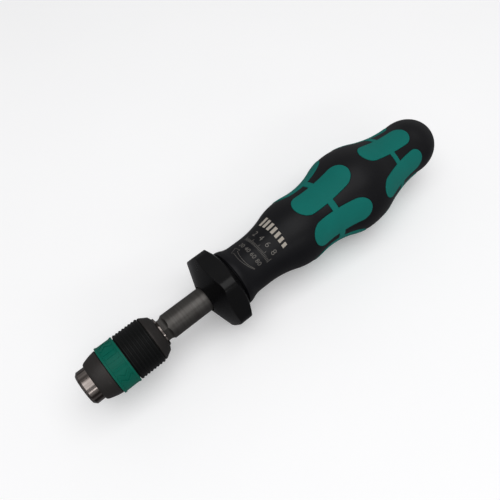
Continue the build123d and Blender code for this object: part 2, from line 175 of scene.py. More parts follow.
def eased(outline: Outline, radius: float, steps: int = 4, closed: bool = True) -> Outline:
    """Round the corners of an outline.

    Args:
        outline: Corner points.
        radius: Radius of the rounding, which short edges make smaller.
        steps: Straight runs in each rounded corner.
        closed: Whether the last point joins the first.

    Returns:
        The outline with its corners rounded.
    """
    result: Outline = []
    # A corner is left alone where half its angle is above or below these two, and a rounding
    # takes at most this share of an edge.
    straight, folded_back, most = math.radians(82), 0.01, 0.45
    for index, corner in enumerate(outline):
        here = Vector(corner)
        before = Vector(outline[index - 1]) - here
        after = Vector(outline[(index + 1) % len(outline)]) - here
        half = before.angle(after, math.pi) / 2
        at_end = not closed and index in (0, len(outline) - 1)
        if at_end or half > straight or half < folded_back:
            result.append(corner)
            continue
        reach = min(radius / math.tan(half), before.length * most, after.length * most)
        start = here + before.normalized() * reach
        end = here + after.normalized() * reach
        for step in range(steps + 1):
            t = step / steps
            result.append(tuple(start * (1 - t) ** 2 + here * (2 * t * (1 - t)) + end * t ** 2))
    return result


def divided(outline: Outline, longest: float, closed: bool = False) -> Outline:
    """Cut the straight runs of an outline into shorter ones.

    Args:
        outline: Corner points.
        longest: Longest run to leave.
        closed: Whether the last point joins the first.

    Returns:
        The outline with points added along its runs.
    """
    result: Outline = []
    following = outline[1:] + outline[:1] if closed else outline[1:]
    for start, end in zip(outline, following):
        count = max(1, math.ceil(math.dist(start, end) / longest - 1e-6))
        for step in range(count):
            share = step / count
            result.append((start[0] + (end[0] - start[0]) * share,
                           start[1] + (end[1] - start[1]) * share))
    if not closed:
        result.append(outline[-1])
    return result


def add_turned(mesh: Mesh, outline: Outline, steps: int, closed: bool = True,
               start: float = 0.0, turn: float = math.tau) -> None:
    """Turn an outline of (x, radius) points about the tool axis into a mesh.

    Args:
        mesh: The mesh that gets the faces.
        outline: Points of the outline, in millimetres.
        steps: Steps in the turn.
        closed: Whether the last point joins the first.
        start: Angle where the turn starts, in radians.
        turn: Angle of the turn, in radians. A full turn is merged at its seam.
    """
    full = turn > math.tau - 1e-6
    verts = [mesh.verts.new(position(x, radius, start)) for x, radius in outline]
    following = verts[1:] + verts[:1] if closed else verts[1:]
    edges = [mesh.edges.new(pair) for pair in zip(verts, following)]
    bmesh.ops.spin(mesh, geom=verts + edges, cent=(0, 0, 0), axis=(1, 0, 0), angle=turn,
                   steps=steps, use_merge=full)


def close_up(mesh: Mesh) -> None:
    """Merge doubled points, close open ends and turn every face outwards.

    Args:
        mesh: The mesh to finish.
    """
    bmesh.ops.remove_doubles(mesh, verts=mesh.verts, dist=MERGE)
    bmesh.ops.dissolve_degenerate(mesh, edges=mesh.edges, dist=1e-8)
    bmesh.ops.holes_fill(mesh, edges=[edge for edge in mesh.edges if edge.is_boundary], sides=0)
    bmesh.ops.recalc_face_normals(mesh, faces=mesh.faces)


def add_object(name: str, data: bpy.types.ID) -> Piece:
    """Put a new object in the scene.

    Args:
        name: Name of the object.
        data: Its mesh, text, light or camera.

    Returns:
        The new object.
    """
    piece = bpy.data.objects.new(name, data)
    bpy.context.scene.collection.objects.link(piece)
    return piece


def evaluated(piece: Piece) -> bpy.types.Mesh:
    """Copy the shape that a piece has with its modifiers, or that a text has.

    Args:
        piece: The piece to read.

    Returns:
        The shape as a new mesh.
    """
    graph = bpy.context.evaluated_depsgraph_get()
    return bpy.data.meshes.new_from_object(piece.evaluated_get(graph))


def extruded(mesh: Mesh, faces: Sequence[bmesh.types.BMFace],
             keep: bool = True) -> list[bmesh.types.BMVert]:
    """Extrude faces in place, so that their points can be moved.

    Args:
        mesh: The mesh that has the faces.
        faces: The faces to extrude.
        keep: Whether the faces also stay where they were.

    Returns:
        The points that were added.
    """
    made = bmesh.ops.extrude_face_region(mesh, geom=faces, use_keep_orig=keep)["geom"]
    if not keep:
        bmesh.ops.delete(mesh, geom=faces, context="FACES")
    return [part for part in made if isinstance(part, bmesh.types.BMVert)]


def to_object(mesh: Mesh, name: str, sharp: float = SHARP) -> Piece:
    """Make a scene object with smooth shading from a finished mesh.

    Args:
        mesh: The finished mesh, which is freed.
        name: Name of the object.
        sharp: Angle in degrees from which an edge stays sharp.

    Returns:
        The new object.
    """
    data = bpy.data.meshes.new(name)
    mesh.to_mesh(data)
    mesh.free()
    data.polygons.foreach_set("use_smooth", [True] * len(data.polygons))
    data.set_sharp_from_angle(angle=math.radians(sharp))
    return add_object(name, data)


def even_normals(piece: Piece) -> None:
    """Keep large faces flat beside small rounded edges.

    Args:
        piece: The piece that gets a weighted normal modifier.
    """
    modifier = piece.modifiers.new("even_normals", "WEIGHTED_NORMAL")
    modifier.keep_sharp = True


def lathe(name: str, outline: Outline, rounding: float = 0.12, steps: int = 144,
          rule: Optional[Rule] = None, run: float = 0.0,
          start: float = 0.0, turn: float = math.tau) -> Piece:
    """Turn a closed outline into a solid piece with rounded edges.

    Args:
        name: Name of the piece.
        outline: Corners as (x, radius), in millimetres, closed or from axis to axis.
        rounding: Radius of the rounded edges.
        steps: Steps round the axis.
        rule: Gives a new radius from x, radius and angle, for faces that aren't round.
        run: Longest run along the outline, where a rule needs a fine mesh.
        start: Angle where the turn starts, in radians.
        turn: Angle of the turn, in radians.

    Returns:
        The new object.
    """
    closed = outline[0][1] > 0
    points = eased(outline, rounding, closed=closed)
    if run:
        points = divided(points, run, closed)
    mesh = bmesh.new()
    add_turned(mesh, points, steps, closed, start, turn)
    if rule:
        for vert in mesh.verts:
            x, radius, angle = polar(vert.co)
            if radius > 1e-4:
                vert.co = position(x, rule(x, radius, angle), angle)
    close_up(mesh)
    piece = to_object(mesh, name)
    even_normals(piece)
    return piece


def carve(piece: Piece, cutters: Sequence[Piece]) -> None:
    """Cut solids out of a piece for good, and remove the cutters.

    Args:
        piece: The piece to cut.
        cutters: Closed solids to take away.
    """
    for cutter in cutters:
        modifier = piece.modifiers.new("cut", "BOOLEAN")
        modifier.object = cutter
        modifier.operation = "DIFFERENCE"
        modifier.solver = "EXACT"
        piece.modifiers.move(len(piece.modifiers) - 1, 0)
    kept = piece.modifiers.get("even_normals")
    kept.show_viewport = False
    piece.data = evaluated(piece)
    kept.show_viewport = True
    for modifier in [each for each in piece.modifiers if each.type == "BOOLEAN"]:
        piece.modifiers.remove(modifier)
    for cutter in cutters:
        bpy.data.objects.remove(cutter)
    piece.data.set_sharp_from_angle(angle=math.radians(SHARP))


# Materials

def linear(colour: str) -> tuple[float, float, float, float]:
    """Turn an sRGB hex colour into linear values.

    Args:
        colour: Six hex digits after a hash sign.

    Returns:
        Linear red, green and blue, with an alpha of 1.
    """
    parts = [int(colour[i:i + 2], 16) / 255 for i in (1, 3, 5)]
    red, green, blue = (p / 12.92 if p <= 0.04045 else ((p + 0.055) / 1.055) ** 2.4 for p in parts)
    return red, green, blue, 1.0


def add_node(tree: Tree, kind: str, sockets: Optional[dict] = None, **settings):
    """Add a shader node, set it up and fill its inputs.

    Args:
        tree: The material's node tree.
        kind: Node type, such as ShaderNodeMix.
        sockets: Maps an input's name or number to a value, or to an output to link.
        settings: Properties of the node.

    Returns:
        The new node.
    """
    node = tree.nodes.new(kind)
    for name, value in settings.items():
        setattr(node, name, value)
    for key, value in (sockets or {}).items():
        if isinstance(value, Socket):
            tree.links.new(value, node.inputs[key])
        else:
            node.inputs[key].default_value = value
    return node


def blended(tree: Tree, share: Socket, first, second) -> Socket:
    """Blend two colours.

    Args:
        tree: The material's node tree.
        share: Output that gives the second colour's share.
        first: One colour, as a value or an output.
        second: The other colour.

    Returns:
        The output of the blended colour.
    """
    mixed = add_node(tree, "ShaderNodeMix", {"Factor": share, "A": first, "B": second},
                     data_type="RGBA")
    return mixed.outputs["Result"]


@dataclass(frozen=True)
class Shading:
    """A material in the making, which each finish adds its own marks to.

    Attributes:
        tree: The material's node tree.
        shader: The surface shader.
        base: Colour so far.
        bump: The grain's bump node.
    """

    tree: Tree
    shader: bpy.types.Node
    base: Socket
    bump: bpy.types.Node


@dataclass(frozen=True)
class Finish:
    """Surface of one material: a colour that drifts a little, a roughness that varies, and a grain.

    Attributes:
        name: What the real surface is.
        colour: Main colour, sRGB.
        tone: Colour that slow patches drift towards, sRGB.
        roughness: Mean roughness.
        spread: How far the roughness varies either way.
        metallic: 1 for bare metal.
        patch_mm: Size of the slow patches.
        grain_mm: Size of the grain.
        bump_mm: Height of the grain.
        stretch: Direction that the grain runs in.
        coat: Strength of a clear glossy skin.
        specular: Level of the reflections of a surface that isn't metal.
    """

    name: str
    colour: str
    tone: str
    roughness: float
    spread: float
    metallic: float = 0.0
    patch_mm: float = 9.0
    grain_mm: float = 0.35
    bump_mm: float = 0.004
    stretch: Stretch = Stretch.EVEN
    coat: float = 0.0
    specular: float = 0.5

    def noise(self, tree: Tree, size_mm: float, stretch: Stretch, detail: float):
        """Add a noise pattern in real sizes on object coordinates.

        Args:
            tree: The material's node tree.
            size_mm: Size of the pattern's features.
            stretch: Direction that the pattern runs in.
            detail: Octaves of finer noise.

        Returns:
            The pattern's output between 0 and 1.
        """
        place = add_node(tree, "ShaderNodeTexCoord")
        scaled = add_node(tree, "ShaderNodeMapping", {
            "Vector": place.outputs["Object"], "Scale": stretch.value})
        kept = 0.55  # Share of its strength that each finer octave keeps.
        pattern = add_node(tree, "ShaderNodeTexNoise", {
            "Vector": scaled.outputs["Vector"], "Scale": 1 / (size_mm * MM), "Detail": detail,
            "Roughness": kept})
        return pattern.outputs["Fac"]

    def material(self) -> bpy.types.Material:
        """Build the material.

        Returns:
            The finished material.
        """
        made = bpy.data.materials.new(self.name)
        made.use_nodes = True
        tree = made.node_tree
        shader = tree.nodes["Principled BSDF"]
        patches = self.noise(tree, self.patch_mm, Stretch.EVEN, detail=3.0)
        grain = self.noise(tree, self.grain_mm, self.stretch, detail=4.0)
        base = blended(tree, patches, linear(self.colour), linear(self.tone))
        both = add_node(tree, "ShaderNodeMath", {0: patches, 1: grain}, operation="ADD")
        low, high = 0.6, 1.4  # Nearly all of the two patterns' sum lies between these.
        rough = add_node(tree, "ShaderNodeMapRange", {
            "Value": both.outputs[0], "From Min": low, "From Max": high,
            "To Min": self.roughness - self.spread, "To Max": self.roughness + self.spread})
        bump = add_node(tree, "ShaderNodeBump", {
            "Height": grain, "Strength": 1.0, "Distance": self.bump_mm * MM})
        self.detail(Shading(tree, shader, base, bump))
        tree.links.new(rough.outputs["Result"], shader.inputs["Roughness"])
        tree.links.new(bump.outputs["Normal"], shader.inputs["Normal"])
        shader.inputs["Metallic"].default_value = self.metallic
        shader.inputs["Coat Weight"].default_value = self.coat
        shader.inputs["Specular IOR Level"].default_value = self.specular
        return made

    def detail(self, made: Shading) -> None:
        """Link the colour, with nothing added. Other finishes add their own marks here."""
        made.tree.links.new(made.base, made.shader.inputs["Base Color"])


@dataclass(frozen=True)
class Machined(Finish):
    """Bare or blackened metal with fine tool marks, the odd brighter scratch and dark bands painted
    along the grain, which on the nose are painted reflections.

    Attributes:
        mark_mm: Spacing of the tool marks.
        scratch: Colour of the scratches, sRGB.
        band_and_painted_reflection: Colour of the dark bands that run along the grain, sRGB; on the
            nose they are painted reflections, on the other metals faint darker bands.
        band_and_painted_reflection_mm: Width of those bands.
        bands_and_painted_reflections: Strength of those bands.
        band_and_painted_reflection_range: Part of the pattern where the bands fade in.
        scratch_range: Part of the pattern where the scratches fade in.
        scratches: Strength of the scratches.
    """

    mark_mm: float = 0.12
    scratch: str = "#B9B4AE"
    band_and_painted_reflection: str = "#2E2825"
    band_and_painted_reflection_mm: float = 0.9
    bands_and_painted_reflections: float = 0.25
    band_and_painted_reflection_range: Point = (0.42, 0.62)
    scratch_range: Point = (0.66, 0.8)
    scratches: float = 0.35

    def detail(self, made: Shading) -> None:
        """Darken bands along the grain, which on the nose are painted reflections, and brighten a
        few thin scratches that run with the tool marks.

        Args:
            made: The material so far.
        """
        colour = made.base
        # First pass: dark bands along the grain, painted reflections on the nose. Second pass: pale
        # scratches.
        for size, octaves, (low, high), strength, mark in (
                (self.band_and_painted_reflection_mm, 1.0, self.band_and_painted_reflection_range, self.bands_and_painted_reflections, self.band_and_painted_reflection),
                (self.mark_mm, 2.0, self.scratch_range, self.scratches, self.scratch)):
            pattern = self.noise(made.tree, size, self.stretch, octaves)
            share = add_node(made.tree, "ShaderNodeMapRange", {
                "Value": pattern, "From Min": low, "From Max": high, "To Max": strength})
            colour = blended(made.tree, share.outputs["Result"], colour, linear(mark))
        made.tree.links.new(colour, made.shader.inputs["Base Color"])


@dataclass(frozen=True)
class Moulded(Finish):
    """Moulded plastic or rubber with tiny pits left by the mould's sparked surface.

    Attributes:
        pit_mm: Spacing of the pits.
        pit_depth_mm: Depth of the pits.
    """

    pit_mm: float = 0.5
    pit_depth_mm: float = 0.006

    def detail(self, made: Shading) -> None:
        """Add the pits under the grain.

        Args:
            made: The material so far.
        """
        place = add_node(made.tree, "ShaderNodeTexCoord")
        cells = add_node(made.tree, "ShaderNodeTexVoronoi", {
            "Vector": place.outputs["Object"], "Scale": 1 / (self.pit_mm * MM)})
        pits = add_node(made.tree, "ShaderNodeBump", {
            "Height": cells.outputs["Distance"], "Strength": 1.0,
            "Distance": self.pit_depth_mm * MM})
        made.tree.links.new(pits.outputs["Normal"], made.bump.inputs["Normal"])
        super().detail(made)


@dataclass(frozen=True)
class Paper(Finish):
    """Matt studio paper that reflections show darker than the camera does.

    Attributes:
        reflected: Its colour in reflections, sRGB.
        glow: Light that only the camera sees, which keeps the paper near white.
    """

    reflected: str = "#808080"
    glow: float = 0.15

    def detail(self, made: Shading) -> None:
        """Link the colour, darker for glossy rays.

        Args:
            made: The material so far.
        """
        seen = add_node(made.tree, "ShaderNodeLightPath")
        shade = blended(made.tree, seen.outputs["Is Glossy Ray"], made.base, linear(self.reflected))
        made.tree.links.new(shade, made.shader.inputs["Base Color"])
        lift = add_node(made.tree, "ShaderNodeMath", {
            0: seen.outputs["Is Camera Ray"], 1: self.glow}, operation="MULTIPLY")
        made.shader.inputs["Emission Color"].default_value = WHITE
        made.tree.links.new(lift.outputs[0], made.shader.inputs["Emission Strength"])


# Ground steel: bright, so the studio's lights draw long pale reflections on the nose; the long dark
# bands in its colour are painted reflections.
NOSE_STEEL = Machined("nose_ground_steel", "#A39B97", "#6A615D", 0.17, 0.05, metallic=1.0,
                      grain_mm=0.09, bump_mm=0.0015, stretch=Stretch.LENGTHWISE, patch_mm=5.0,
                      scratch="#E6E2DE", band_and_painted_reflection_mm=1.8, bands_and_painted_reflections=0.95)
# Phosphated steel: a warm dark grey that scatters light and shows no reflections.
SLEEVE_METAL = Machined("sleeve_phosphated_steel", "#343130", "#2A2827", 0.5, 0.08, metallic=0.6,
                        grain_mm=0.14, bump_mm=0.003, stretch=Stretch.TURNED, scratch="#6E6866")
# Blackened turned steel: one soft highlight along its length.
SHAFT_METAL = Machined("shaft_blackened_steel", "#565452", "#454341", 0.4, 0.07, metallic=0.85,
                       grain_mm=0.1, bump_mm=0.002, stretch=Stretch.TURNED, scratch="#8A8784")
# Hard glossy plastic, darker and greener than the soft inlays.
RING_GREEN = Moulded("ring_green_plastic", "#065F50", "#065445", 0.34, 0.06, pit_mm=0.35,
                     pit_depth_mm=0.002, bump_mm=0.002, specular=0.08)
# Satin black plastic: the ribs show only as fine pale lines.
GRIP_BLACK = Moulded("grip_black_plastic", "#060707", "#0A0B0B", 0.42, 0.06, pit_mm=0.3,
                     pit_depth_mm=0.002, bump_mm=0.002, specular=0.14)
# Polished black plastic: near black, with crisp reflections on its facets.
GUARD_BLACK = Moulded("guard_gloss_black_plastic", "#050506", "#080809", 0.24, 0.05, pit_mm=0.6,
                      pit_depth_mm=0.0015, bump_mm=0.001, specular=0.2)
# Satin black plastic with a fine sparked grain, which spreads the highlights softly.
HANDLE_BLACK = Moulded("handle_black_plastic", "#09090C", "#0F0F13", 0.42, 0.07, pit_mm=0.42,
                       pit_depth_mm=0.006, bump_mm=0.004, specular=0.17)
# Soft rubber: flat teal with hardly any highlight.
INLAY_TEAL = Moulded("inlay_teal_rubber", "#0B6D65", "#0E635B", 0.62, 0.06, pit_mm=0.3,
                     pit_depth_mm=0.004, bump_mm=0.003, specular=0.1)
# Matt white paper: it carries the soft shadow and shows grey in the metal's reflections.
FLOOR_PAPER = Paper("floor_matt_paper", "#F6F6F7", "#F3F3F4", 0.9, 0.03, patch_mm=60.0, bump_mm=0.0,
                    reflected="#7C7C7E")
# Laser print: a thin chalky layer, warm light grey.
PRINT_GREY = Finish("laser_print_grey", "#B5ADA2", "#9B948B", 0.7, 0.06,
                    grain_mm=0.12, bump_mm=0.002)
PRINT_FAINT = Finish("laser_print_faint", "#77736E", "#625F5B", 0.7, 0.06,
                     grain_mm=0.12, bump_mm=0.002)
# Hardened inner steel, turned and left bare.
INNER_STEEL = Machined("inner_turned_steel", "#A3A3A4", "#8E8E90", 0.3, 0.06, metallic=1.0,
                       grain_mm=0.12, bump_mm=0.002, stretch=Stretch.TURNED)
# Drawn spring wire: darker steel with a slight oil film.
SPRING_STEEL = Machined("spring_drawn_wire", "#7C7C80", "#68686C", 0.32, 0.06, metallic=1.0,
                        coat=0.2)
# Sintered bronze: porous and warm.
BEARING_BRONZE = Machined("bearing_sintered_bronze", "#9C7A44", "#86683A", 0.45, 0.07, metallic=1.0,
                          grain_mm=0.2, bump_mm=0.004, scratch="#C9A66A")
# Nickel plate on the magnet: smooth and slightly yellow.
MAGNET_NICKEL = Machined("magnet_nickel_plate", "#C4C0B6", "#B2AEA5", 0.16, 0.04, metallic=1.0)


class Wardrobe:
    """Makes each material once and puts it on pieces and CAD nodes."""

    def __init__(self) -> None:
        """Start with no materials."""
        self.made: dict[str, bpy.types.Material] = {}

    def dress(self, piece: Piece, finish: Finish) -> None:
        """Give an object one finish in all its slots.

        Args:
            piece: The object to dress.
            finish: The finish it gets.
        """
        if finish.name not in self.made:
            self.made[finish.name] = finish.material()
        if not piece.material_slots:
            piece.data.materials.append(None)
        for slot in piece.material_slots:
            slot.material = self.made[finish.name]


WARDROBE = Wardrobe()


def place(piece: Piece, body: Body, finish: Finish, slot: str,
          nodes: Sequence[str] = ()) -> None:
    """Dress a piece and tie it to the model.

    Args:
        piece: The finished piece.
        body: Body that it rides on.
        finish: Its finish.
        slot: Name of a material slot; not used.
        nodes: CAD nodes that it stands for.
    """
    WARDROBE.dress(piece, finish)
    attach(piece, body.value)
    if nodes:
        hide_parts(*nodes)
    log.info("%s rides on %s, %d faces", piece.name, body.value, len(piece.data.polygons))


# Handle

@dataclass(frozen=True)
class Run:
    """One run of the handle's outline: two tangent arcs, level at both ends.

    Attributes:
        length: Length along the axis.
        end_r: Radius where the run ends.
        share: Part of the run that the first arc takes.
    """

    length: float
    end_r: float
    share: float

    def radius(self, distance: float, start_r: float) -> float:
        """Give the radius along the run.

        Args:
            distance: Distance from the start of the run.
            start_r: Radius where the run starts.

        Returns:
            The radius there.
        """
        rise = self.end_r - start_r
        if not rise:
            return start_r
        whole = (self.length ** 2 + rise ** 2) / (2 * abs(rise))
        side = math.copysign(1, rise)
        if distance <= self.share * self.length:
            arc = self.share * whole
            return start_r + side * (arc - math.sqrt(arc ** 2 - distance ** 2))
        arc = (1 - self.share) * whole
        return self.end_r - side * (arc - math.sqrt(arc ** 2 - (self.length - distance) ** 2))


@dataclass(frozen=True)
class PetalRing:
    """Six long rounded petals round the handle, joined by a link ring through their middles.

    Attributes:
        node: CAD node that the inlay stands for.
        ahead: Middle of the petals ahead of the palm's high ring.
        length: Length of a petal.
        width: Width of a petal.
        link: Width of the link ring.
    """

    node: str
    ahead: float
    length: float
    width: float
    link: float


@dataclass(frozen=True)
class Handle:
    """Hard core, two rings of soft inlays and the rear plug.

    Attributes:
        rim_r: Radius of the front rim.
        rim_round: Rounding of the rim.
        runs: Runs of the outline, from the rim to the dome.
        dome: Length of the domed end.
        rings: The two rings of petals.
        pocket: Depth of the pockets.
        pocket_edge: Lines along a pocket's edge, as distance inside it and height above the core.
        proud: How far the rubber stands out of the core.
        seam: Gap between the rubber and the core.
        rubber_edge: Lines along the rubber's edge, as distance inside it and height above the core.
        crown: How far inside its edge the rubber has its full height.
        under: Gap under the rubber.
        cell: Size of the faces along the surface.
        columns: Faces in one sector.
        spigot_r: Radius of the spigot in the guard.
        bore_r: Radius of the bore round the tube.
        channel_r: Radius of the key channel.
        plug_r: Radius of the recess for the plug's head.
        plug_depth: Depth of that recess.
        plug_gap: Gap round the plug.
        notch_r: Radius of the notch that lifts the plug.
        dome_steps: Rings of points on the dome.
        palm_run: Number of runs from the rim to the palm's high ring.
    """

    rim_r: float = 10.1
    rim_round: float = 0.4
    runs: tuple[Run, ...] = (
        Run(5.5, 8.9, 0.35), Run(4.0, 8.9, 0.5), Run(19.2, 12.25, 0.62), Run(7.1, 11.8, 0.5),
        Run(19.7, 15.6, 0.62), Run(29.0, 10.55, 0.34), Run(3.4, 10.65, 0.5))
    dome: float = 11.6
    rings: tuple[PetalRing, ...] = (
        PetalRing("front_inlay", 15.3, 24.2, 9.2, 2.5),
        PetalRing("rear_inlay", -16.7, 25.4, 8.2, 2.4))
    pocket: float = 1.6
    pocket_edge: tuple[Point, ...] = ((-0.15, 0.0), (-0.05, -0.03), (0.0, -0.12))
    proud: float = 0.15
    seam: float = 0.06
    rubber_edge: tuple[Point, ...] = ((0.0, -0.12), (0.03, 0.03), (0.1, 0.11))
    crown: float = 0.24
    under: float = 0.05
    cell: float = 0.9
    columns: int = 24
    spigot_r: float = 9.5
    bore_r: float = 7.22
    channel_r: float = 4.2
    plug_r: float = 5.0
    plug_depth: float = 3.8
    plug_gap: float = 0.1
    notch_r: float = 1.1
    dome_steps: int = 16
    palm_run: int = 5

    @cached_property
    def front(self) -> float:
        """Place of the rim's front face, from the rear end of the CAD handle."""
        return self.end - self.rim_round - sum(run.length for run in self.runs) - self.dome

    @cached_property
    def end(self) -> float:
        """Place of the handle's rear end, where the plug's dome reaches."""
        return ends("rear_plug")[1]

    @cached_property
    def tail(self) -> float:
        """Place where the dome starts."""
        return self.end - self.dome

    @cached_property
    def palm(self) -> float:
        """Place of the palm's high ring."""
        return self.front + self.rim_round + sum(run.length for run in self.runs[:self.palm_run])

    def radius(self, x: float) -> float:
        """Give the core's radius.

        Args:
            x: Place along the axis.

        Returns:
            The radius there.
        """
        along = x - self.front
        if along < self.rim_round:
            return self.rim_r - self.rim_round + math.sqrt(
                max(self.rim_round ** 2 - (self.rim_round - along) ** 2, 0.0))
        along -= self.rim_round
        radius = self.rim_r
        for run in self.runs:
            if along <= run.length:
                return run.radius(along, radius)
            along -= run.length
            radius = run.end_r
        return radius * math.sqrt(max(1 - (along / self.dome) ** 2, 0.0))

    def normal(self, x: float, angle: float) -> Vector:
        """Give the direction that the surface faces.

        Args:
            x: Place along the axis.
            angle: Angle round the axis, in radians.

        Returns:
            The unit normal.
        """
        step = 0.02
        slope = (self.radius(x + step) - self.radius(x - step)) / (2 * step)
        return Vector((-slope, -math.sin(angle), math.cos(angle))).normalized()

    def stations(self) -> list[float]:
        """Give the places along the axis where the skin has a ring of points.

        Returns:
            Places from the rim to the edge of the plug's recess.
        """
        rim_end = self.front + self.rim_round
        rim = [rim_end - self.rim_round * math.cos(math.radians(turn))
               for turn in (0, 22, 45, 67)]
        count = round((self.tail - rim_end) / self.cell)
        body = [rim_end + (self.tail - rim_end) * step / count for step in range(count + 1)]
        last = math.acos(self.plug_r / self.runs[-1].end_r)
        dome = [self.tail + self.dome * math.sin(last * step / self.dome_steps)
                for step in range(1, self.dome_steps + 1)]
        return rim + body + dome

    def depth(self, x: float, angle: float, ring: PetalRing) -> float:
        """Tell how far inside the outline of petal and link a point lies.

        Args:
            x: Place along the axis.
            angle: Angle round the axis, in radians.
            ring: The ring of petals.

        Returns:
            Distance to the outline, above 0 inside and below 0 outside.
        """
        along = abs(x - self.palm + ring.ahead)
        across = self.radius(x) * math.sin(folded(angle))
        past = max(along - (ring.length - ring.width) / 2, 0.0)
        return max(ring.width / 2 - math.hypot(past, across), ring.link / 2 - along)

    def edge(self, ring: PetalRing, trim: float, side: int) -> list[Point]:
        """Draw one side of the outline of petal and link across a sector.

        Args:
            ring: The ring of petals.
            trim: How far inside the pocket's outline the line runs.
            side: -1 for the side towards the guard, 1 for the side towards the dome.

        Returns:
            Points as place along the axis and angle.
        """
        half_link, half_width = ring.link / 2 - trim, ring.width / 2 - trim
        straight = (ring.length - ring.width) / 2
        middle = self.palm - ring.ahead
        reach = self.radius(middle + side * half_link) * math.sin(math.pi / SECTORS)
        tip = [(straight + half_width * math.cos(turn), half_width * math.sin(turn))
               for turn in map(math.radians, range(-90, 91, 6))]
        flat = [(half_link, -reach), (half_link, -half_width), *tip,
                (half_link, half_width), (half_link, reach)]
        finer, border = 0.7, 0.5  # A share of the cell, and the sine of half a sector.
        line = []
        for along, across in divided(flat, self.cell * finer):
            x = middle + side * along
            line.append((x, math.asin(max(-border, min(border, across / self.radius(x))))))
        return line

    def skin(self, rings: Sequence[PetalRing], rows: Sequence[Point], level: float,
             inside: bool = False) -> Mesh:
        """Mesh the handle's surface so that its edges follow the petals' outlines.

        One sector is triangulated flat, as place and angle, then bent round the axis six times.

        Args:
            rings: Rings of petals that the mesh follows.
            rows: Lines along each outline, as distance inside it and height above the core.
            level: Height of the rest of the surface above the core.
            inside: Keep only what lies inside the outlines.

        Returns:
            The open surface.
        """
        half = math.pi / SECTORS
        low, high = rows[0][0] - self.cell / 3, rows[-1][0] + self.cell / 3
        points: list[Point] = []
        heights: list[float] = []
        edges: list[tuple[int, int]] = []
        for x in self.stations():
            for column in range(self.columns + 1):
                angle = half * (2 * column / self.columns - 1)
                depths = [self.depth(x, angle, ring) for ring in rings]
                clear = all(not low < depth < high for depth in depths)
                if clear and (not inside or max(depths) > 0):
                    points.append((x, angle * self.rim_r))
        heights += [level] * len(points)
        for ring in rings:
            for trim, height in rows:
                for side in (-1, 1):
                    line = self.edge(ring, trim, side)
                    first = len(points)
                    edges += [(first + step, first + step + 1) for step in range(len(line) - 1)]
                    points += [(x, angle * self.rim_r) for x, angle in line]
                    heights += [height] * len(line)
        flat, _, faces, sources, _, _ = delaunay_2d_cdt(
            [Vector(point) for point in points], edges, [], 0, 1e-5)
        if inside:
            faces = [face for face in faces if max(
                self.depth(sum(flat[i].x for i in face) / 3,
                           sum(flat[i].y for i in face) / 3 / self.rim_r, ring)
                for ring in rings) > rows[0][0]]
        mesh = bmesh.new()
        for sector in range(SECTORS):
            verts = []
            for point, source in zip(flat, sources):
                radius = self.radius(point.x) + (heights[source[0]] if source else level)
                verts.append(mesh.verts.new(
                    position(point.x, radius, point.y / self.rim_r + sector * 2 * half)))
            for face in faces:
                mesh.faces.new([verts[i] for i in face])
        bmesh.ops.remove_doubles(mesh, verts=mesh.verts, dist=MERGE)
        loose = [vert for vert in mesh.verts if not vert.link_faces]
        bmesh.ops.delete(mesh, geom=loose, context="VERTS")
        return mesh

    def exact_normals(self, piece: Piece, level: float) -> None:
        """Give faces on the handle's surface the normals of its true outline.

        Args:
            piece: The piece to shade.
            level: Height of its surface above the core.
        """
        data = piece.data
        normals = []
        off, facing = 0.004, 0.9  # Most that a point is off the surface, and least match of a face.
        for polygon in data.polygons:
            for index in polygon.vertices:
                x, radius, angle = polar(data.vertices[index].co)
                exact = self.normal(x, angle)
                on_it = abs(radius - self.radius(x) - level) < off
                near = on_it and polygon.normal.dot(exact) > facing
                normals.append(exact if near else Vector((0, 0, 0)))
        data.normals_split_custom_set(normals)

    def lower(self, verts: Sequence[bmesh.types.BMVert], depth: float) -> None:
        """Move points to a depth under the core's surface.

        Args:
            verts: The points.
            depth: Their new depth.
        """
        for vert in verts:
            x, _, angle = polar(vert.co)
            vert.co = position(x, self.radius(x) - depth, angle)

    def core(self) -> Piece:
        """Build the hard core with its pockets, its bore and the recess for the plug."""
        mesh = self.skin(self.rings, self.pocket_edge, 0.0)
        pockets = []
        for face in mesh.faces:
            x, _, angle = polar(face.calc_center_median())
            if max(self.depth(x, angle, ring) for ring in self.rings) > 0:
                pockets.append(face)
        self.lower(extruded(mesh, pockets, keep=False), self.pocket)
        guard_end = ends("roll_off_guard")[1]
        tube_end = ends("inner_tube")[1]
        seat = self.end - self.plug_depth
        add_turned(mesh, [
            (self.front, self.rim_r - self.rim_round), (self.front, self.spigot_r),
            (guard_end, self.spigot_r), (guard_end, self.bore_r), (tube_end, self.bore_r),
            (tube_end, self.channel_r), (seat, self.channel_r), (seat, self.plug_r),
            (self.stations()[-1], self.plug_r),
        ], SECTORS * self.columns, closed=False)
        close_up(mesh)
        piece = to_object(mesh, "handle_core_moulded")
        self.exact_normals(piece, 0.0)
        return piece

    def inlay(self, ring: PetalRing) -> Piece:
        """Build one soft inlay: petals and links in one piece, with rounded edges.

        Args:
            ring: The ring of petals.

        Returns:
            The inlay.
        """
        rows = [(self.seam + inside, height)
                for inside, height in (*self.rubber_edge, (self.crown, self.proud))]
        mesh = self.skin((ring,), rows, self.proud, inside=True)
        self.lower(extruded(mesh, mesh.faces[:]), self.pocket - self.under)
        close_up(mesh)
        piece = to_object(mesh, f"{ring.node}_rubber", sharp=50)
        self.exact_normals(piece, self.proud)
        return piece

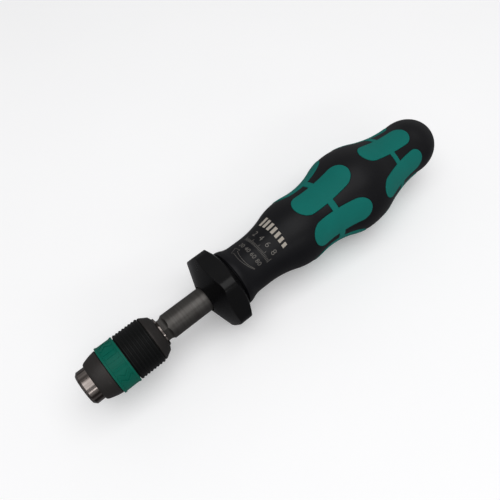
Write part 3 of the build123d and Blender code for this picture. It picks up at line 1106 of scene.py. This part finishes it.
    def plug(self) -> Piece:
        """Build the rear plug, whose head carries on the dome."""
        seat = self.end - self.plug_depth
        head_r, stem_r = self.plug_r - self.plug_gap, self.channel_r - self.plug_gap
        stem_x = ends("rear_plug")[0]
        last_r, steps = self.runs[-1].end_r, 12
        first = math.acos(head_r / last_r)
        turns = [first + (math.pi / 2 - first) * step / steps for step in range(steps + 1)]
        dome = [(self.tail + self.dome * math.sin(turn), last_r * math.cos(turn)) for turn in turns]
        dome[-1] = (self.end, 0.0)
        plug = lathe("rear_plug_moulded", [
            (stem_x, 0.0), (stem_x, stem_r), (seat, stem_r), (seat, head_r), *dome], rounding=0.3)
        mesh = bmesh.new()
        bmesh.ops.create_icosphere(mesh, subdivisions=4, radius=self.notch_r * MM)
        bmesh.ops.translate(mesh, verts=mesh.verts, vec=position(self.end, self.plug_r, 0.0))
        carve(plug, [to_object(mesh, "notch_cutter")])
        return plug

    def build(self) -> None:
        """Build and dress the handle."""
        place(self.core(), Body.HANDLE, HANDLE_BLACK, "handle_black", ["handle_core"])
        for ring in self.rings:
            place(self.inlay(ring), Body.HANDLE, INLAY_TEAL, "inlay_teal", [ring.node])
        place(self.plug(), Body.END_PLUG, HANDLE_BLACK, "plug_black", ["rear_plug"])


# Printed and raised marks

def ribbon(mesh: Mesh, line: Outline, width: float, closed: bool = False) -> None:
    """Add a flat line of even width.

    Args:
        mesh: Flat mesh that gets the line.
        line: Its middle, as points across and along.
        width: Its width.
        closed: Whether the last point joins the first.
    """
    sides = []
    for index, point in enumerate(line):
        before = line[index - 1] if closed or index else point
        after = line[(index + 1) % len(line)] if closed or index < len(line) - 1 else point
        run = Vector(after) - Vector(before)
        aside = Vector((-run.y, run.x)).normalized() * width / 2
        sides.append([mesh.verts.new((*(Vector(point) + aside * sign), 0)) for sign in (1, -1)])
    pairs = list(zip(sides, sides[1:] + sides[:1])) if closed else list(zip(sides, sides[1:]))
    for (a, b), (c, d) in pairs:
        mesh.faces.new((a, b, d, c))


def lettering(mesh: Mesh, text: str, size: float, along: float, thin: float) -> None:
    """Add a centred row of text.

    Args:
        mesh: Flat mesh that gets the text.
        text: What it says.
        size: Height of the font.
        along: Place of the row's middle.
        thin: How much the strokes are thinned on each side.
    """
    curve = bpy.data.curves.new("lettering", "FONT")
    curve.body = text
    curve.size = size
    curve.offset = -thin
    curve.resolution_u = 4
    curve.align_x, curve.align_y = "CENTER", "CENTER"
    holder = add_object("lettering", curve)
    bpy.context.view_layer.update()
    data = evaluated(holder)
    known = set(mesh.verts)
    mesh.from_mesh(data)
    added = [vert for vert in mesh.verts if vert not in known]
    bmesh.ops.translate(mesh, verts=added, vec=(0, along, 0))
    bpy.data.objects.remove(holder)
    bpy.data.curves.remove(curve)
    bpy.data.meshes.remove(data)


def bend(mesh: Mesh, name: str, radius: Callable[[float], float], middle: float,
         lift: float, sink: float = 0.03, cell: float = 0.5, merge: float = 0.002) -> Piece:
    """Lay a flat drawing on a turned surface as a thin closed layer.

    Args:
        mesh: The drawing, with X across and Y along the tool, in millimetres.
        name: Name of the piece.
        radius: Gives the surface's radius along the tool.
        middle: Angle of the drawing's middle, in degrees.
        lift: Height of the layer above the surface.
        sink: How far the layer reaches under the surface.
        cell: Size that its faces are cut to.
        merge: Distance below which its points are merged.

    Returns:
        The finished piece.
    """
    for axis in (0, 1):
        low = min(vert.co[axis] for vert in mesh.verts)
        high = max(vert.co[axis] for vert in mesh.verts)
        normal = Vector((1 - axis, axis, 0))
        for step in range(1, math.ceil((high - low) / cell)):
            parts = mesh.verts[:] + mesh.edges[:] + mesh.faces[:]
            bmesh.ops.bisect_plane(mesh, geom=parts, plane_co=normal * (low + step * cell),
                                   plane_no=normal)
    bmesh.ops.remove_doubles(mesh, verts=mesh.verts, dist=merge)
    # Thinned letters can fold over at a sharp corner: the smallest of three faces on an edge goes.
    slivers = [min(edge.link_faces, key=lambda face: face.calc_area())
               for edge in mesh.edges if len(edge.link_faces) > 2]
    bmesh.ops.delete(mesh, geom=list(dict.fromkeys(slivers)), context="FACES")
    under = set(extruded(mesh, mesh.faces[:]))
    for vert in mesh.verts:
        across, along = vert.co.x, vert.co.y
        base = radius(along)
        height = -sink if vert in under else lift
        vert.co = position(along, base + height, math.radians(middle) + across / base)
    bmesh.ops.recalc_face_normals(mesh, faces=mesh.faces)
    return to_object(mesh, name)


@dataclass(frozen=True)
class HandlePrint:
    """Plain laser marks on the neck: bold bars, numbers, a scale and an arrow for the turn.

    Attributes:
        handle: The handle that they are on.
        bold_middle: Angle of the bold row's middle, in degrees.
        fine_middle: Angle of the thin rows' middle, in degrees.
        lift: Thickness of the print.
        reach: Half the length of the rows.
        bars_at: Distance of the bold bars from the rim.
        bars: Number of bold bars.
        bar: Width of a bar and height of the first.
        growth: Height that each bar has more than the one before.
        numbers: Rows of numbers, as text, size, distance from the rim and thinning.
        ticks_at: Distance of the fine scale from the rim.
        ticks: Number of its lines.
        tick_foot: How far the lines start ahead of that place.
        tick_lengths: Length of a plain line and of a marked one.
        marked: Lines from one marked line to the next.
        line: Width of the thin lines.
        arrow_at: Distance of the arrow from the rim.
        arrow_run: Where the arrow's shaft starts and how long it is.
        arrow_sag: How much it sags, the half run that this is for, and how far it is raised.
        arrow_half: Half its width at the tail, and what it gains towards the head.
        arrow_head: Corners of its head.
        arrow_steps: Straight runs on each side of the shaft.
    """

    handle: Handle
    bold_middle: float = 1.0
    fine_middle: float = 5.0
    lift: float = 0.025
    reach: float = 5.9
    bars_at: float = 19.6
    bars: int = 7
    bar: Point = (1.15, 3.5)
    growth: float = -0.3
    numbers: tuple[tuple[str, float, float, float], ...] = (
        ("2  4  6  8", 3.0, 14.5, 0.045), ("20 40 60 80", 2.2, 8.4, 0.03))
    ticks_at: float = 11.6
    ticks: int = 25
    tick_foot: float = 0.8
    tick_lengths: Point = (1.1, 1.9)
    marked: int = 6
    line: float = 0.1
    arrow_at: float = 5.3
    arrow_run: Point = (-3.2, 8.4)
    arrow_sag: tuple[float, float, float] = (1.6, 5, 0.9)
    arrow_half: Point = (0.1, 0.6)
    arrow_head: tuple[Point, ...] = ((-3.0, 1.3), (-5.2, 1.0), (-3.9, -1.5))
    arrow_steps: int = 14

    def spread(self, count: int) -> list[float]:
        """Spread marks evenly over a row."""
        return [self.reach * (2 * index / (count - 1) - 1) for index in range(count)]

    def bold(self) -> Mesh:
        """Draw bars that get shorter along the row."""
        mesh = bmesh.new()
        width, height = self.bar
        foot = self.handle.front + self.bars_at - height / 2
        for index, across in enumerate(self.spread(self.bars)):
            top = foot + height + self.growth * index
            ribbon(mesh, [(across, foot), (across, top)], width)
        return mesh

    def fine(self) -> Mesh:
        """Draw the numbers, the scale and the arrow in thin lines."""
        mesh = bmesh.new()
        front = self.handle.front
        for text, size, along, thin in self.numbers:
            lettering(mesh, text, size, front + along, thin)
        foot = front + self.ticks_at - self.tick_foot
        for index, across in enumerate(self.spread(self.ticks)):
            length = self.tick_lengths[index % self.marked == 0]
            ribbon(mesh, [(across, foot), (across, foot + length)], self.line)
        ribbon(mesh, self.arrow(front + self.arrow_at), self.line, closed=True)
        return mesh

    def arrow(self, along: float) -> Outline:
        """Draw the outline of a curved arrow that tapers to its tail.

        Args:
            along: Place of its middle.

        Returns:
            Closed outline as points across and along.
        """
        upper, lower = [], []
        start, length = self.arrow_run
        depth, reach, raised = self.arrow_sag
        thin, gain = self.arrow_half
        for step in range(self.arrow_steps + 1):
            share = step / self.arrow_steps
            across = start + length * share
            sag = depth * (across / reach) ** 2 - raised
            half = gain * (1 - share) + thin
            upper.append((across, along + sag + half))
            lower.append((across, along + sag - half))
        head = [(across, along + behind) for across, behind in self.arrow_head]
        return upper[::-1] + head + lower

    def build(self) -> None:
        """Lay both layers of print on the handle."""
        for name, drawing, finish, middle in (
                ("print_bold", self.bold(), PRINT_GREY, self.bold_middle),
                ("print_fine", self.fine(), PRINT_FAINT, self.fine_middle)):
            piece = bend(drawing, name, self.handle.radius, middle, self.lift)
            place(piece, Body.HANDLE, finish, "handle_black")


# Guard, shaft, chuck and sleeve

@dataclass(frozen=True)
class Guard:
    """Hexagonal roll-off guard, a nut shape with turned corners and a long front cone.

    Attributes:
        across_flats: Width across the flats.
        corner_r: Radius of the turned corners.
        mouth_r: Radius of the hole's edge at the front.
        bore_r: Radius of the hole for the shaft.
        tube_r: Radius of the recess for the tube.
        cone: Length of the front cone.
        flat: Length of the full hexagon.
        bevel: Length of the bevel behind it.
        bevel_r: Radius after the bevel.
        rear_r: Radius of the rear face.
        blend: Difference of radii over which faces flow into each other.
    """

    across_flats: float = 26.0
    corner_r: float = 14.38
    mouth_r: float = 5.2
    bore_r: float = 4.6
    tube_r: float = 7.22
    cone: float = 3.4
    flat: float = 4.4
    bevel: float = 0.8
    bevel_r: float = 13.0
    rear_r: float = 10.0
    blend: float = 0.45

    def build(self) -> None:
        """Build and dress the guard."""
        front, rear = ends("roll_off_guard")
        seat = ends("inner_tube")[0]
        body = front + self.cone
        piece = lathe("roll_off_guard_moulded", [
            (front, self.bore_r), (front, self.mouth_r), (body, self.corner_r),
            (body + self.flat, self.corner_r), (body + self.flat + self.bevel, self.bevel_r),
            (rear, self.rear_r), (rear, self.tube_r), (seat, self.tube_r), (seat, self.bore_r),
        ], rounding=0.25, steps=360, run=0.36, rule=self.hexed)
        place(piece, Body.HANDLE, GUARD_BLACK, "guard_black", ["roll_off_guard"])

    def hexed(self, x: float, radius: float, angle: float) -> float:
        """Cut the turned shape down to the hexagon."""
        return soft_min(radius, hexagon(angle, self.across_flats), self.blend)


@dataclass(frozen=True)
class Shaft:
    """Output shaft: a hexagonal neck with milled run-outs, then a plain round shaft.

    Attributes:
        radius: Radius of the shaft.
        across_flats: Width across the flats of the neck.
        chamfer: Chamfer of the shank.
        round_x: Place where the milled flats start to run out.
        runout_r: Radius of the milling cutter.
        collar_r: Radius of the collar in the handle.
        spigot_r: Radius of the spigot in the clutch.
        face_gap: Gap between the washer and the collar.
    """

    radius: float = 4.3
    across_flats: float = 7.0
    chamfer: float = 0.5
    round_x: float = 28.5
    runout_r: float = 1.6
    collar_r: float = 5.6
    spigot_r: float = 3.0
    face_gap: float = 0.05

    def build(self) -> None:
        """Build and dress the shaft."""
        front, rear = ends("output_shaft")
        collar = ends("thrust_washer")[1] + self.face_gap
        spigot = ends("clutch_detent_disc")[0]
        steps = 16
        fine = [(self.round_x + self.runout_r * step / steps, self.radius)
                for step in range(steps + 1)]
        piece = lathe("output_shaft_turned", [
            (front, 0.0), (front, self.radius - self.chamfer), (front + self.chamfer, self.radius),
            *fine, (collar, self.radius), (collar, self.collar_r), (spigot, self.collar_r),
            (spigot, self.spigot_r), (rear, self.spigot_r), (rear, 0.0),
        ], rounding=0.1, steps=192, run=0.8, rule=self.milled)
        place(piece, Body.OUTPUT, SHAFT_METAL, "shaft_metal", ["output_shaft"])

    def milled(self, x: float, radius: float, angle: float) -> float:
        """Mill the six flats of the neck and their run-outs.

        Args:
            x: Place along the axis.
            radius: Radius of the turned shape.
            angle: Angle round the axis, in radians.

        Returns:
            The radius of the shaft.
        """
        past = max(x - self.round_x, 0.0)
        if past >= self.runout_r:
            return radius
        rise = self.runout_r - math.sqrt(self.runout_r ** 2 - past ** 2)
        return min(radius, hexagon(angle, self.across_flats + 2 * rise))


@dataclass(frozen=True)
class Chuck:
    """Steel nose with the bit socket, and the open ring that keeps the sleeve on.

    Attributes:
        nose_r: Radius of the nose.
        nose_chamfer: Chamfer of its front edge.
        socket_af: Width of the bit socket across its flats.
        socket_depth: Depth of the socket.
        mouth_chamfer: Chamfer of the socket's mouth.
        body_r: Radius of the body behind the nose.
        chamber_r: Radius of the ejector's chamber.
        shank_af: Width across the flats of the hole for the shaft.
        shank_depth: Depth of that hole.
        rear_chamfer: Chamfer of the rear edge.
        groove: Depth of the ring's groove.
        ring_height: How far the ring stands out of the body.
        ring_opening: Angle of the ring's opening underneath, in degrees.
        ball_x: Place of the ball holes.
        ball_hole_r: Radius of the ball holes.
        socket_stock: How far the socket's turned bore stays inside its flats.
        shank_stock: How far the shaft hole's turned bore stays inside its flats.
        bond: Gap between the ring and the bottom of its groove.
    """

    nose_r: float = 5.6
    nose_chamfer: float = 0.8
    socket_af: float = 6.4
    socket_depth: float = 12.0
    mouth_chamfer: float = 0.4
    body_r: float = 4.55
    chamber_r: float = 3.5
    shank_af: float = 7.04
    shank_depth: float = 7.0
    rear_chamfer: float = 0.5
    groove: float = 0.4
    ring_height: float = 0.4
    ring_opening: float = 70.0
    ball_x: float = 8.0
    ball_hole_r: float = 1.65
    socket_stock: float = 0.05
    shank_stock: float = 0.02
    bond: float = 0.02

    def bored(self, x: float, radius: float, angle: float) -> float:
        """Give the socket and the hole for the shaft their six flats.

        Args:
            x: Place along the axis.
            radius: Radius of the turned shape.
            angle: Angle round the axis, in radians.

        Returns:
            The radius of the chuck body.
        """
        corner, margin = self.socket_af / math.sqrt(3), 0.001
        if x <= self.socket_depth and radius <= corner + margin:
            return max(radius, hexagon(angle, self.socket_af))
        if x > self.socket_depth and radius < self.shank_af / 2 and radius != self.chamber_r:
            return min(hexagon(angle, self.shank_af), self.body_r - self.rear_chamfer)
        return radius

    def build(self) -> None:
        """Build and dress the chuck body and its ring."""
        front, rear = ends("chuck_body")
        ring_x, ring_end = ends("sleeve_retaining_ring")
        corner = self.socket_af / math.sqrt(3)
        inner = self.socket_af / 2 - self.socket_stock
        groove_r = self.body_r - self.groove
        shank_x = rear - self.shank_depth
        shank_r = self.shank_af / 2 - self.shank_stock
        steps = 4
        mouth = [(front + self.mouth_chamfer * step / steps,
                  corner - self.mouth_chamfer * step / steps) for step in range(steps, -1, -1)]
        body = lathe("chuck_body_ground", [
            (front, self.nose_r - self.nose_chamfer), (front + self.nose_chamfer, self.nose_r),
            (self.socket_depth, self.nose_r), (self.socket_depth, self.body_r),
            (ring_x, self.body_r), (ring_x, groove_r), (ring_end, groove_r),
            (ring_end, self.body_r), (rear, self.body_r - self.rear_chamfer), (rear, shank_r),
            (shank_x, shank_r), (shank_x, self.chamber_r), (self.socket_depth, self.chamber_r),
            (self.socket_depth, inner), (front + self.mouth_chamfer, inner), *mouth,
        ], rounding=0.06, steps=192, rule=self.bored)
        mesh = bmesh.new()
        # A small turn keeps the hole's edges off the body's, so that the cut leaves it closed.
        turned = (Matrix.Translation((self.ball_x * MM, 0, 0))
                  @ Matrix.Rotation(math.radians(1), 4, "Z"))
        hole_r, depth = self.ball_hole_r * MM, 3 * self.nose_r * MM
        bmesh.ops.create_cone(mesh, cap_ends=True, segments=64, radius1=hole_r, radius2=hole_r,
                              depth=depth, matrix=turned)
        carve(body, [to_object(mesh, "ball_hole_cutter")])
        place(body, Body.OUTPUT, NOSE_STEEL, "nose_steel", ["chuck_body"])
        half = math.radians(self.ring_opening / 2)
        inside, outside = groove_r + self.bond, self.body_r + self.ring_height
        ring = lathe("sleeve_retaining_ring_bent", [
            (ring_x, inside), (ring_end, inside), (ring_end, outside), (ring_x, outside),
        ], rounding=0.08, steps=120, start=math.pi + half, turn=math.tau - 2 * half)
        place(ring, Body.OUTPUT, NOSE_STEEL, "nose_steel", ["sleeve_retaining_ring"])


@dataclass(frozen=True)
class Sleeve:
    """Sliding sleeve: metal core and cap, green ring and ribbed grip.

    Attributes:
        bore_r: Radius of the bore on the nose.
        edge_r: Radius of the front edge.
        lip_r: Radius of the small lip behind it.
        lip: Length of the lip.
        cone: Length of the front cone.
        cone_r: Radius of the cone's rear edge.
        cone_bulge: Height of the cone's swell.
        seat_r: Radius under the ring and the grip.
        chamber_r: Radius of the spring chamber.
        flange: Thickness of the rear flange.
        flange_r: Radius of the flange's hole.
        ring_r: Radius of the green ring.
        ring_rim: Width of its two rims.
        ring_recess: Depth of the band between them.
        grip_r: Radius of the ribs' tops.
        ribs: Number of ribs.
        rib_top: Part of a rib's pitch where its top starts and ends.
        rib_depth: Depth between the ribs.
        cap_corners: Distance behind the cap's front face and radius of its corners.
        bond: Gap under the ring and the grip.
        mark: Width of the marks on the ring.
        mark_margin: Gap between the marks and the ring's rims.
        bar_pitch: Distance from one bar of the marks to the next.
        arrows: Where each arrow head starts, across the band.
        arrow: How far an arrow head reaches.
        mark_middle: Angle of the marks' middle, in degrees.
        mark_share: Height of the marks, as a share of the band's depth.
    """

    bore_r: float = 5.68
    edge_r: float = 6.15
    lip_r: float = 6.45
    lip: float = 0.4
    cone: float = 4.8
    cone_r: float = 7.6
    cone_bulge: float = 0.16
    seat_r: float = 7.1
    chamber_r: float = 6.52
    flange: float = 3.6
    flange_r: float = 4.63
    ring_r: float = 8.1
    ring_rim: float = 0.7
    ring_recess: float = 0.18
    grip_r: float = 8.0
    ribs: int = 8
    rib_top: Point = (0.4, 0.6)
    rib_depth: float = 0.32
    cap_corners: tuple[Point, ...] = ((0.0, 7.76), (0.6, 7.59), (2.85, 6.23), (3.28, 5.35))
    bond: float = 0.02
    mark: float = 0.6
    mark_margin: float = 0.5
    bar_pitch: float = 1.5
    arrows: Point = (4.6, 6.6)
    arrow: float = 1.6
    mark_middle: float = 12.0
    mark_share: float = 0.9

    def core(self) -> Piece:
        """Build the metal core with its front cone."""
        front, rear = ends("sleeve_core")
        edge, cone_end = front + self.lip, front + self.cone
        cone, steps = [], 8
        for step in range(steps + 1):
            share = step / steps
            swell = self.cone_bulge * 4 * share * (1 - share)
            cone.append((edge + (cone_end - edge) * share,
                         self.lip_r + (self.cone_r - self.lip_r) * share + swell))
        return lathe("sleeve_core_turned", [
            (front, self.bore_r), (front, self.edge_r), *cone, (cone_end, self.seat_r),
            (rear, self.seat_r), (rear, self.flange_r), (rear - self.flange, self.flange_r),
            (rear - self.flange, self.chamber_r), (cone_end, self.chamber_r),
            (cone_end, self.bore_r),
        ], rounding=0.12)

    def color_ring(self) -> Piece:
        """Build the green ring with a rim at each side."""
        front, rear = ends("sleeve_color_ring")
        band_r = self.ring_r - self.ring_recess
        inner = self.seat_r + self.bond
        return lathe("sleeve_color_ring_moulded", [
            (front, inner), (front, self.ring_r), (front + self.ring_rim, self.ring_r),
            (front + self.ring_rim, band_r), (rear - self.ring_rim, band_r),
            (rear - self.ring_rim, self.ring_r), (rear, self.ring_r), (rear, inner)], rounding=0.12)

    def relief(self) -> Piece:
        """Raise a plain slide mark in the green ring's band: bars between two arrow heads."""
        front, rear = ends("sleeve_color_ring")
        middle = (front + rear) / 2
        half = (rear - front) / 2 - self.ring_rim - self.mark_margin
        low, high = middle - half, middle + half
        mesh = bmesh.new()
        for index in range(-2, 3):
            across = index * self.bar_pitch
            ribbon(mesh, [(across, low), (across, high)], self.mark)
        for side in (-1, 1):
            for foot in self.arrows:
                tip = foot + self.arrow
                ribbon(mesh, [(side * foot, low), (side * tip, middle), (side * foot, high)],
                       self.mark)
        band_r = self.ring_r - self.ring_recess
        return bend(mesh, "sleeve_color_ring_marks", lambda along: band_r, self.mark_middle,
                    self.ring_recess * self.mark_share)

    def grip(self) -> Piece:
        """Build the ribbed grip."""
        front, rear = ends("sleeve_grip")
        pitch = (rear - front) / self.ribs
        ridges = [(front, self.grip_r - self.rib_depth)]
        for rib in range(self.ribs):
            start = front + rib * pitch
            ridges += [(start + pitch * share, self.grip_r) for share in self.rib_top]
            ridges.append((start + pitch, self.grip_r - self.rib_depth))
        inner = self.seat_r + self.bond
        return lathe("sleeve_grip_moulded", [(front, inner), *ridges, (rear, inner)], rounding=0.2)

    def cap(self) -> Piece:
        """Build the rear cap."""
        front = ends("sleeve_cap")[0]
        outside = [(front + behind, radius) for behind, radius in self.cap_corners]
        rear = outside[-1][0]
        return lathe("sleeve_cap_turned", [
            (front, self.flange_r), *outside, (rear, self.flange_r)], rounding=0.15)

    def build(self) -> None:
        """Build and dress the sleeve."""
        place(self.core(), Body.SLEEVE, SLEEVE_METAL, "sleeve_metal", ["sleeve_core"])
        place(self.color_ring(), Body.SLEEVE, RING_GREEN, "ring_green", ["sleeve_color_ring"])
        place(self.relief(), Body.SLEEVE, RING_GREEN, "ring_green")
        place(self.grip(), Body.SLEEVE, GRIP_BLACK, "grip_black", ["sleeve_grip"])
        place(self.cap(), Body.SLEEVE, SLEEVE_METAL, "sleeve_metal", ["sleeve_cap"])


# Springs

@dataclass(frozen=True)
class Spring:
    """Compression spring of round wire with closed ends.

    Attributes:
        node: CAD node that it stands for.
        body: Body that it rides on.
        wire: Thickness of the wire.
        turns: Turns, with the closed one at each end.
        front_joint: Joint that pushes the front end back, and its travel.
        rear_joint: Joint that pushes the rear end forward, and its travel.
        closed: Pitch of the closed turns, in thicknesses of the wire.
        eased: Part of a turn where the pitch changes.
        sides: Sides of the wire.
        steps: Steps in a turn.
    """

    node: str
    body: Body
    wire: float
    turns: float
    front_joint: Optional[tuple[str, float]] = None
    rear_joint: Optional[tuple[str, float]] = None
    closed: float = 1.05
    eased: float = 0.2
    sides: int = 16
    steps: int = 48

    def build(self) -> None:
        """Build the spring as one piece, or as two that meet halfway where both ends move."""
        front, rear = ends(self.node)
        tight = self.closed * self.wire
        pitch = (rear - front - self.wire - 2 * tight) / (self.turns - 2)
        end = [(1 - self.eased / 2, tight), (self.eased, (tight + pitch) / 2)]
        free = self.turns - 2 - self.eased
        if self.front_joint and self.rear_joint:
            middle = (front + rear) / 2
            half = [(free / 2, pitch)]
            self.coil("front_half", front + self.wire / 2, 0.0, end + half)
            self.coil("rear_half", middle, self.turns / 2, half + end[::-1])
            return
        runs = end + [(free, pitch)] + end[::-1]
        self.coil("coils", front + self.wire / 2, 0.0, runs)

    def coil(self, part: str, start: float, turned: float, runs: Outline) -> None:
        """Wind one length of the wire and place it on its body.

        Args:
            part: Word that ends the piece's name.
            start: Place along the axis where the wire starts.
            turned: Turns before that place.
            runs: Turns and pitch of each run.
        """
        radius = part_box(self.node)[1].z / MM - self.wire / 2
        angle = math.tau * turned
        mesh = bmesh.new()
        bmesh.ops.create_circle(mesh, segments=self.sides, radius=self.wire / 2 * MM)
        # The circle lies flat: it is stood up, turned to its angle and moved to its place.
        bmesh.ops.transform(mesh, verts=mesh.verts, matrix=(
            Matrix.Translation(position(start, radius, angle)) @ Matrix.Rotation(angle, 4, "X")
            @ Matrix.Rotation(math.pi / 2, 4, "X")))
        section = list(mesh.verts) + list(mesh.edges)
        for turns, pitch in runs:
            steps = max(1, round(turns * self.steps))
            made = bmesh.ops.spin(mesh, geom=section, cent=(0, 0, 0), axis=(1, 0, 0),
                                  angle=math.tau * turns, steps=steps,
                                  dvec=(pitch * turns / steps * MM, 0, 0))
            section = made["geom_last"]
        close_up(mesh)
        piece = to_object(mesh, f"{self.node}_{part}", sharp=60.0)
        place(piece, self.body, SPRING_STEEL, "spring_steel", [self.node])
        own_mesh(piece)


SPRINGS = (
    Spring("sleeve_return_spring", Body.OUTPUT, 0.7, 3.5, rear_joint=("sleeve_slide", 3.0)),
    Spring("ejector_spring", Body.OUTPUT, 0.5, 4.5, front_joint=("ejector_slide", 3.0)),
    Spring("main_spring", Body.HANDLE, 1.5, 7.0, front_joint=("clutch_lift", 0.55),
           rear_joint=("setting_nut_slide", 5.0)),
)


# Studio

@dataclass(frozen=True)
class Studio:
    """Pale floor, soft lights and the camera at the photo's angle.

    Attributes:
        floor_gap: Gap under the handle's palm.
        world: Strength of the even light from all round.
        backdrop: Brightness where the camera looks past the floor.
        elevation: Angle of the camera's view plane above the horizon, in degrees.
        yaw: Turn of the view towards the nose, in degrees.
        roll: Slope of the tool's axis in the picture, in degrees.
        target: Point on the axis that the camera is placed from.
        distance: Distance from the camera to the axis.
        drop: Shift of the camera across the tool.
        lens: Focal length on the standard sensor.
        floor_half: Half the width of the floor, in metres.
        clip: Nearest and farthest that the camera sees, in metres.
        lights: Name, place, width, height and watts of each light.
    """

    floor_gap: float = 0.02
    world: float = 0.4
    backdrop: float = 0.93
    elevation: float = 63.0
    yaw: float = 19.03
    roll: float = 36.63
    target: float = 66.9
    distance: float = 159.8
    drop: float = -3.95
    lens: float = 33.95
    floor_half: float = 2.0
    clip: Point = (0.01, 10.0)
    lights: tuple[tuple[str, tuple[float, float, float], float, float, float], ...] = (
        ("overhead", (50, -110, 700), 1050, 700, 3.6),
        ("side_strip", (-60, -520, 300), 500, 60, 0.3))

    def floor(self) -> None:
        """Lay the floor under the lowest point of the handle."""
        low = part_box("handle_core")[0].z / MM
        mesh = bmesh.new()
        bmesh.ops.create_grid(mesh, x_segments=1, y_segments=1, size=self.floor_half)
        floor = to_object(mesh, "floor")
        floor.location.z = (low - self.floor_gap) * MM
        WARDROBE.dress(floor, FLOOR_PAPER)

    def surroundings(self) -> None:
        """Light the scene evenly, and show white where the camera looks past the floor."""
        world = bpy.data.worlds.new("studio")
        bpy.context.scene.world = world
        world.use_nodes = True
        tree = world.node_tree
        seen = add_node(tree, "ShaderNodeLightPath")
        level = add_node(tree, "ShaderNodeMix", {
            "Factor": seen.outputs["Is Camera Ray"], "A": self.world, "B": self.backdrop},
            data_type="FLOAT")
        backdrop = tree.nodes["Background"]
        backdrop.inputs["Color"].default_value = WHITE
        tree.links.new(level.outputs["Result"], backdrop.inputs["Strength"])

    def softbox(self, name: str, spot: Sequence[float], width: float, height: float,
                watts: float) -> None:
        """Hang one rectangular light that faces the tool.

        Args:
            name: Name of the light.
            spot: Its place, in millimetres.
            width: Its width.
            height: Its height.
            watts: Its power.
        """
        light = bpy.data.lights.new(name, "AREA")
        light.shape = "RECTANGLE"
        light.size, light.size_y = width * MM, height * MM
        light.energy = watts
        lamp = add_object(name, light)
        lamp.location = Vector(spot) * MM
        facing = Vector((self.target, 0, 0)) * MM - lamp.location
        lamp.rotation_euler = facing.to_track_quat("-Z", "Y").to_euler()

    def camera(self) -> None:
        """Place the camera as the photo's was."""
        tilt, turn = math.radians(self.elevation), math.radians(self.yaw)
        level = Vector((0, -math.cos(tilt), math.sin(tilt)))
        across = Vector((0, -math.sin(tilt), -math.cos(tilt)))
        along = Vector((math.cos(turn), 0, 0)) + level * math.sin(turn)
        view = Vector((math.sin(turn), 0, 0)) - level * math.cos(turn)
        slope = math.radians(self.roll)
        right = along * math.cos(slope) + across * math.sin(slope)
        up = along * math.sin(slope) - across * math.cos(slope)
        data = bpy.data.cameras.new("camera")
        data.lens = self.lens
        camera = add_object("camera", data)
        camera.matrix_world = Matrix((right, up, -view)).transposed().to_4x4()
        place_mm = Vector((self.target, 0, 0)) + across * self.drop - view * self.distance
        camera.location = place_mm * MM
        data.clip_start, data.clip_end = self.clip
        bpy.context.scene.camera = camera

    def build(self) -> None:
        """Set up everything round the tool."""
        bpy.context.scene.view_settings.view_transform = "Standard"
        self.floor()
        self.surroundings()
        for light in self.lights:
            self.softbox(*light)
        self.camera()


# Hidden pieces that keep the CAD's meshes

INNER_FINISHES = {
    "lock_ball_top": NOSE_STEEL,
    "lock_ball_bottom": NOSE_STEEL,
    "sleeve_spring_washer": INNER_STEEL,
    "ejector_plunger": INNER_STEEL,
    "bit_magnet": MAGNET_NICKEL,
    "inner_tube": INNER_STEEL,
    "front_bush": BEARING_BRONZE,
    "thrust_washer": INNER_STEEL,
    "clutch_detent_disc": INNER_STEEL,
    "clutch_cross_pin": INNER_STEEL,
    "clutch_rollers": INNER_STEEL,
    "clutch_drive_disc": INNER_STEEL,
    "adjusting_nut": INNER_STEEL,
    "adjusting_screw": INNER_STEEL,
    "rear_bearing": BEARING_BRONZE,
}


def dress_inner_nodes() -> None:
    """Give the CAD nodes that keep their own meshes their finishes."""
    for node, finish in INNER_FINISHES.items():
        WARDROBE.dress(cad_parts[node], finish)


def main() -> None:
    """Build every sub-assembly and the studio."""
    logging.basicConfig(level=logging.INFO, format="%(name)s: %(message)s")
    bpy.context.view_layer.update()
    dress_inner_nodes()
    handle = Handle()
    for assembly in (Chuck(), Sleeve(), Shaft(), Guard(), handle, HandlePrint(handle), *SPRINGS,
                     Studio()):
        assembly.build()


if __name__ == "__main__":
    main()
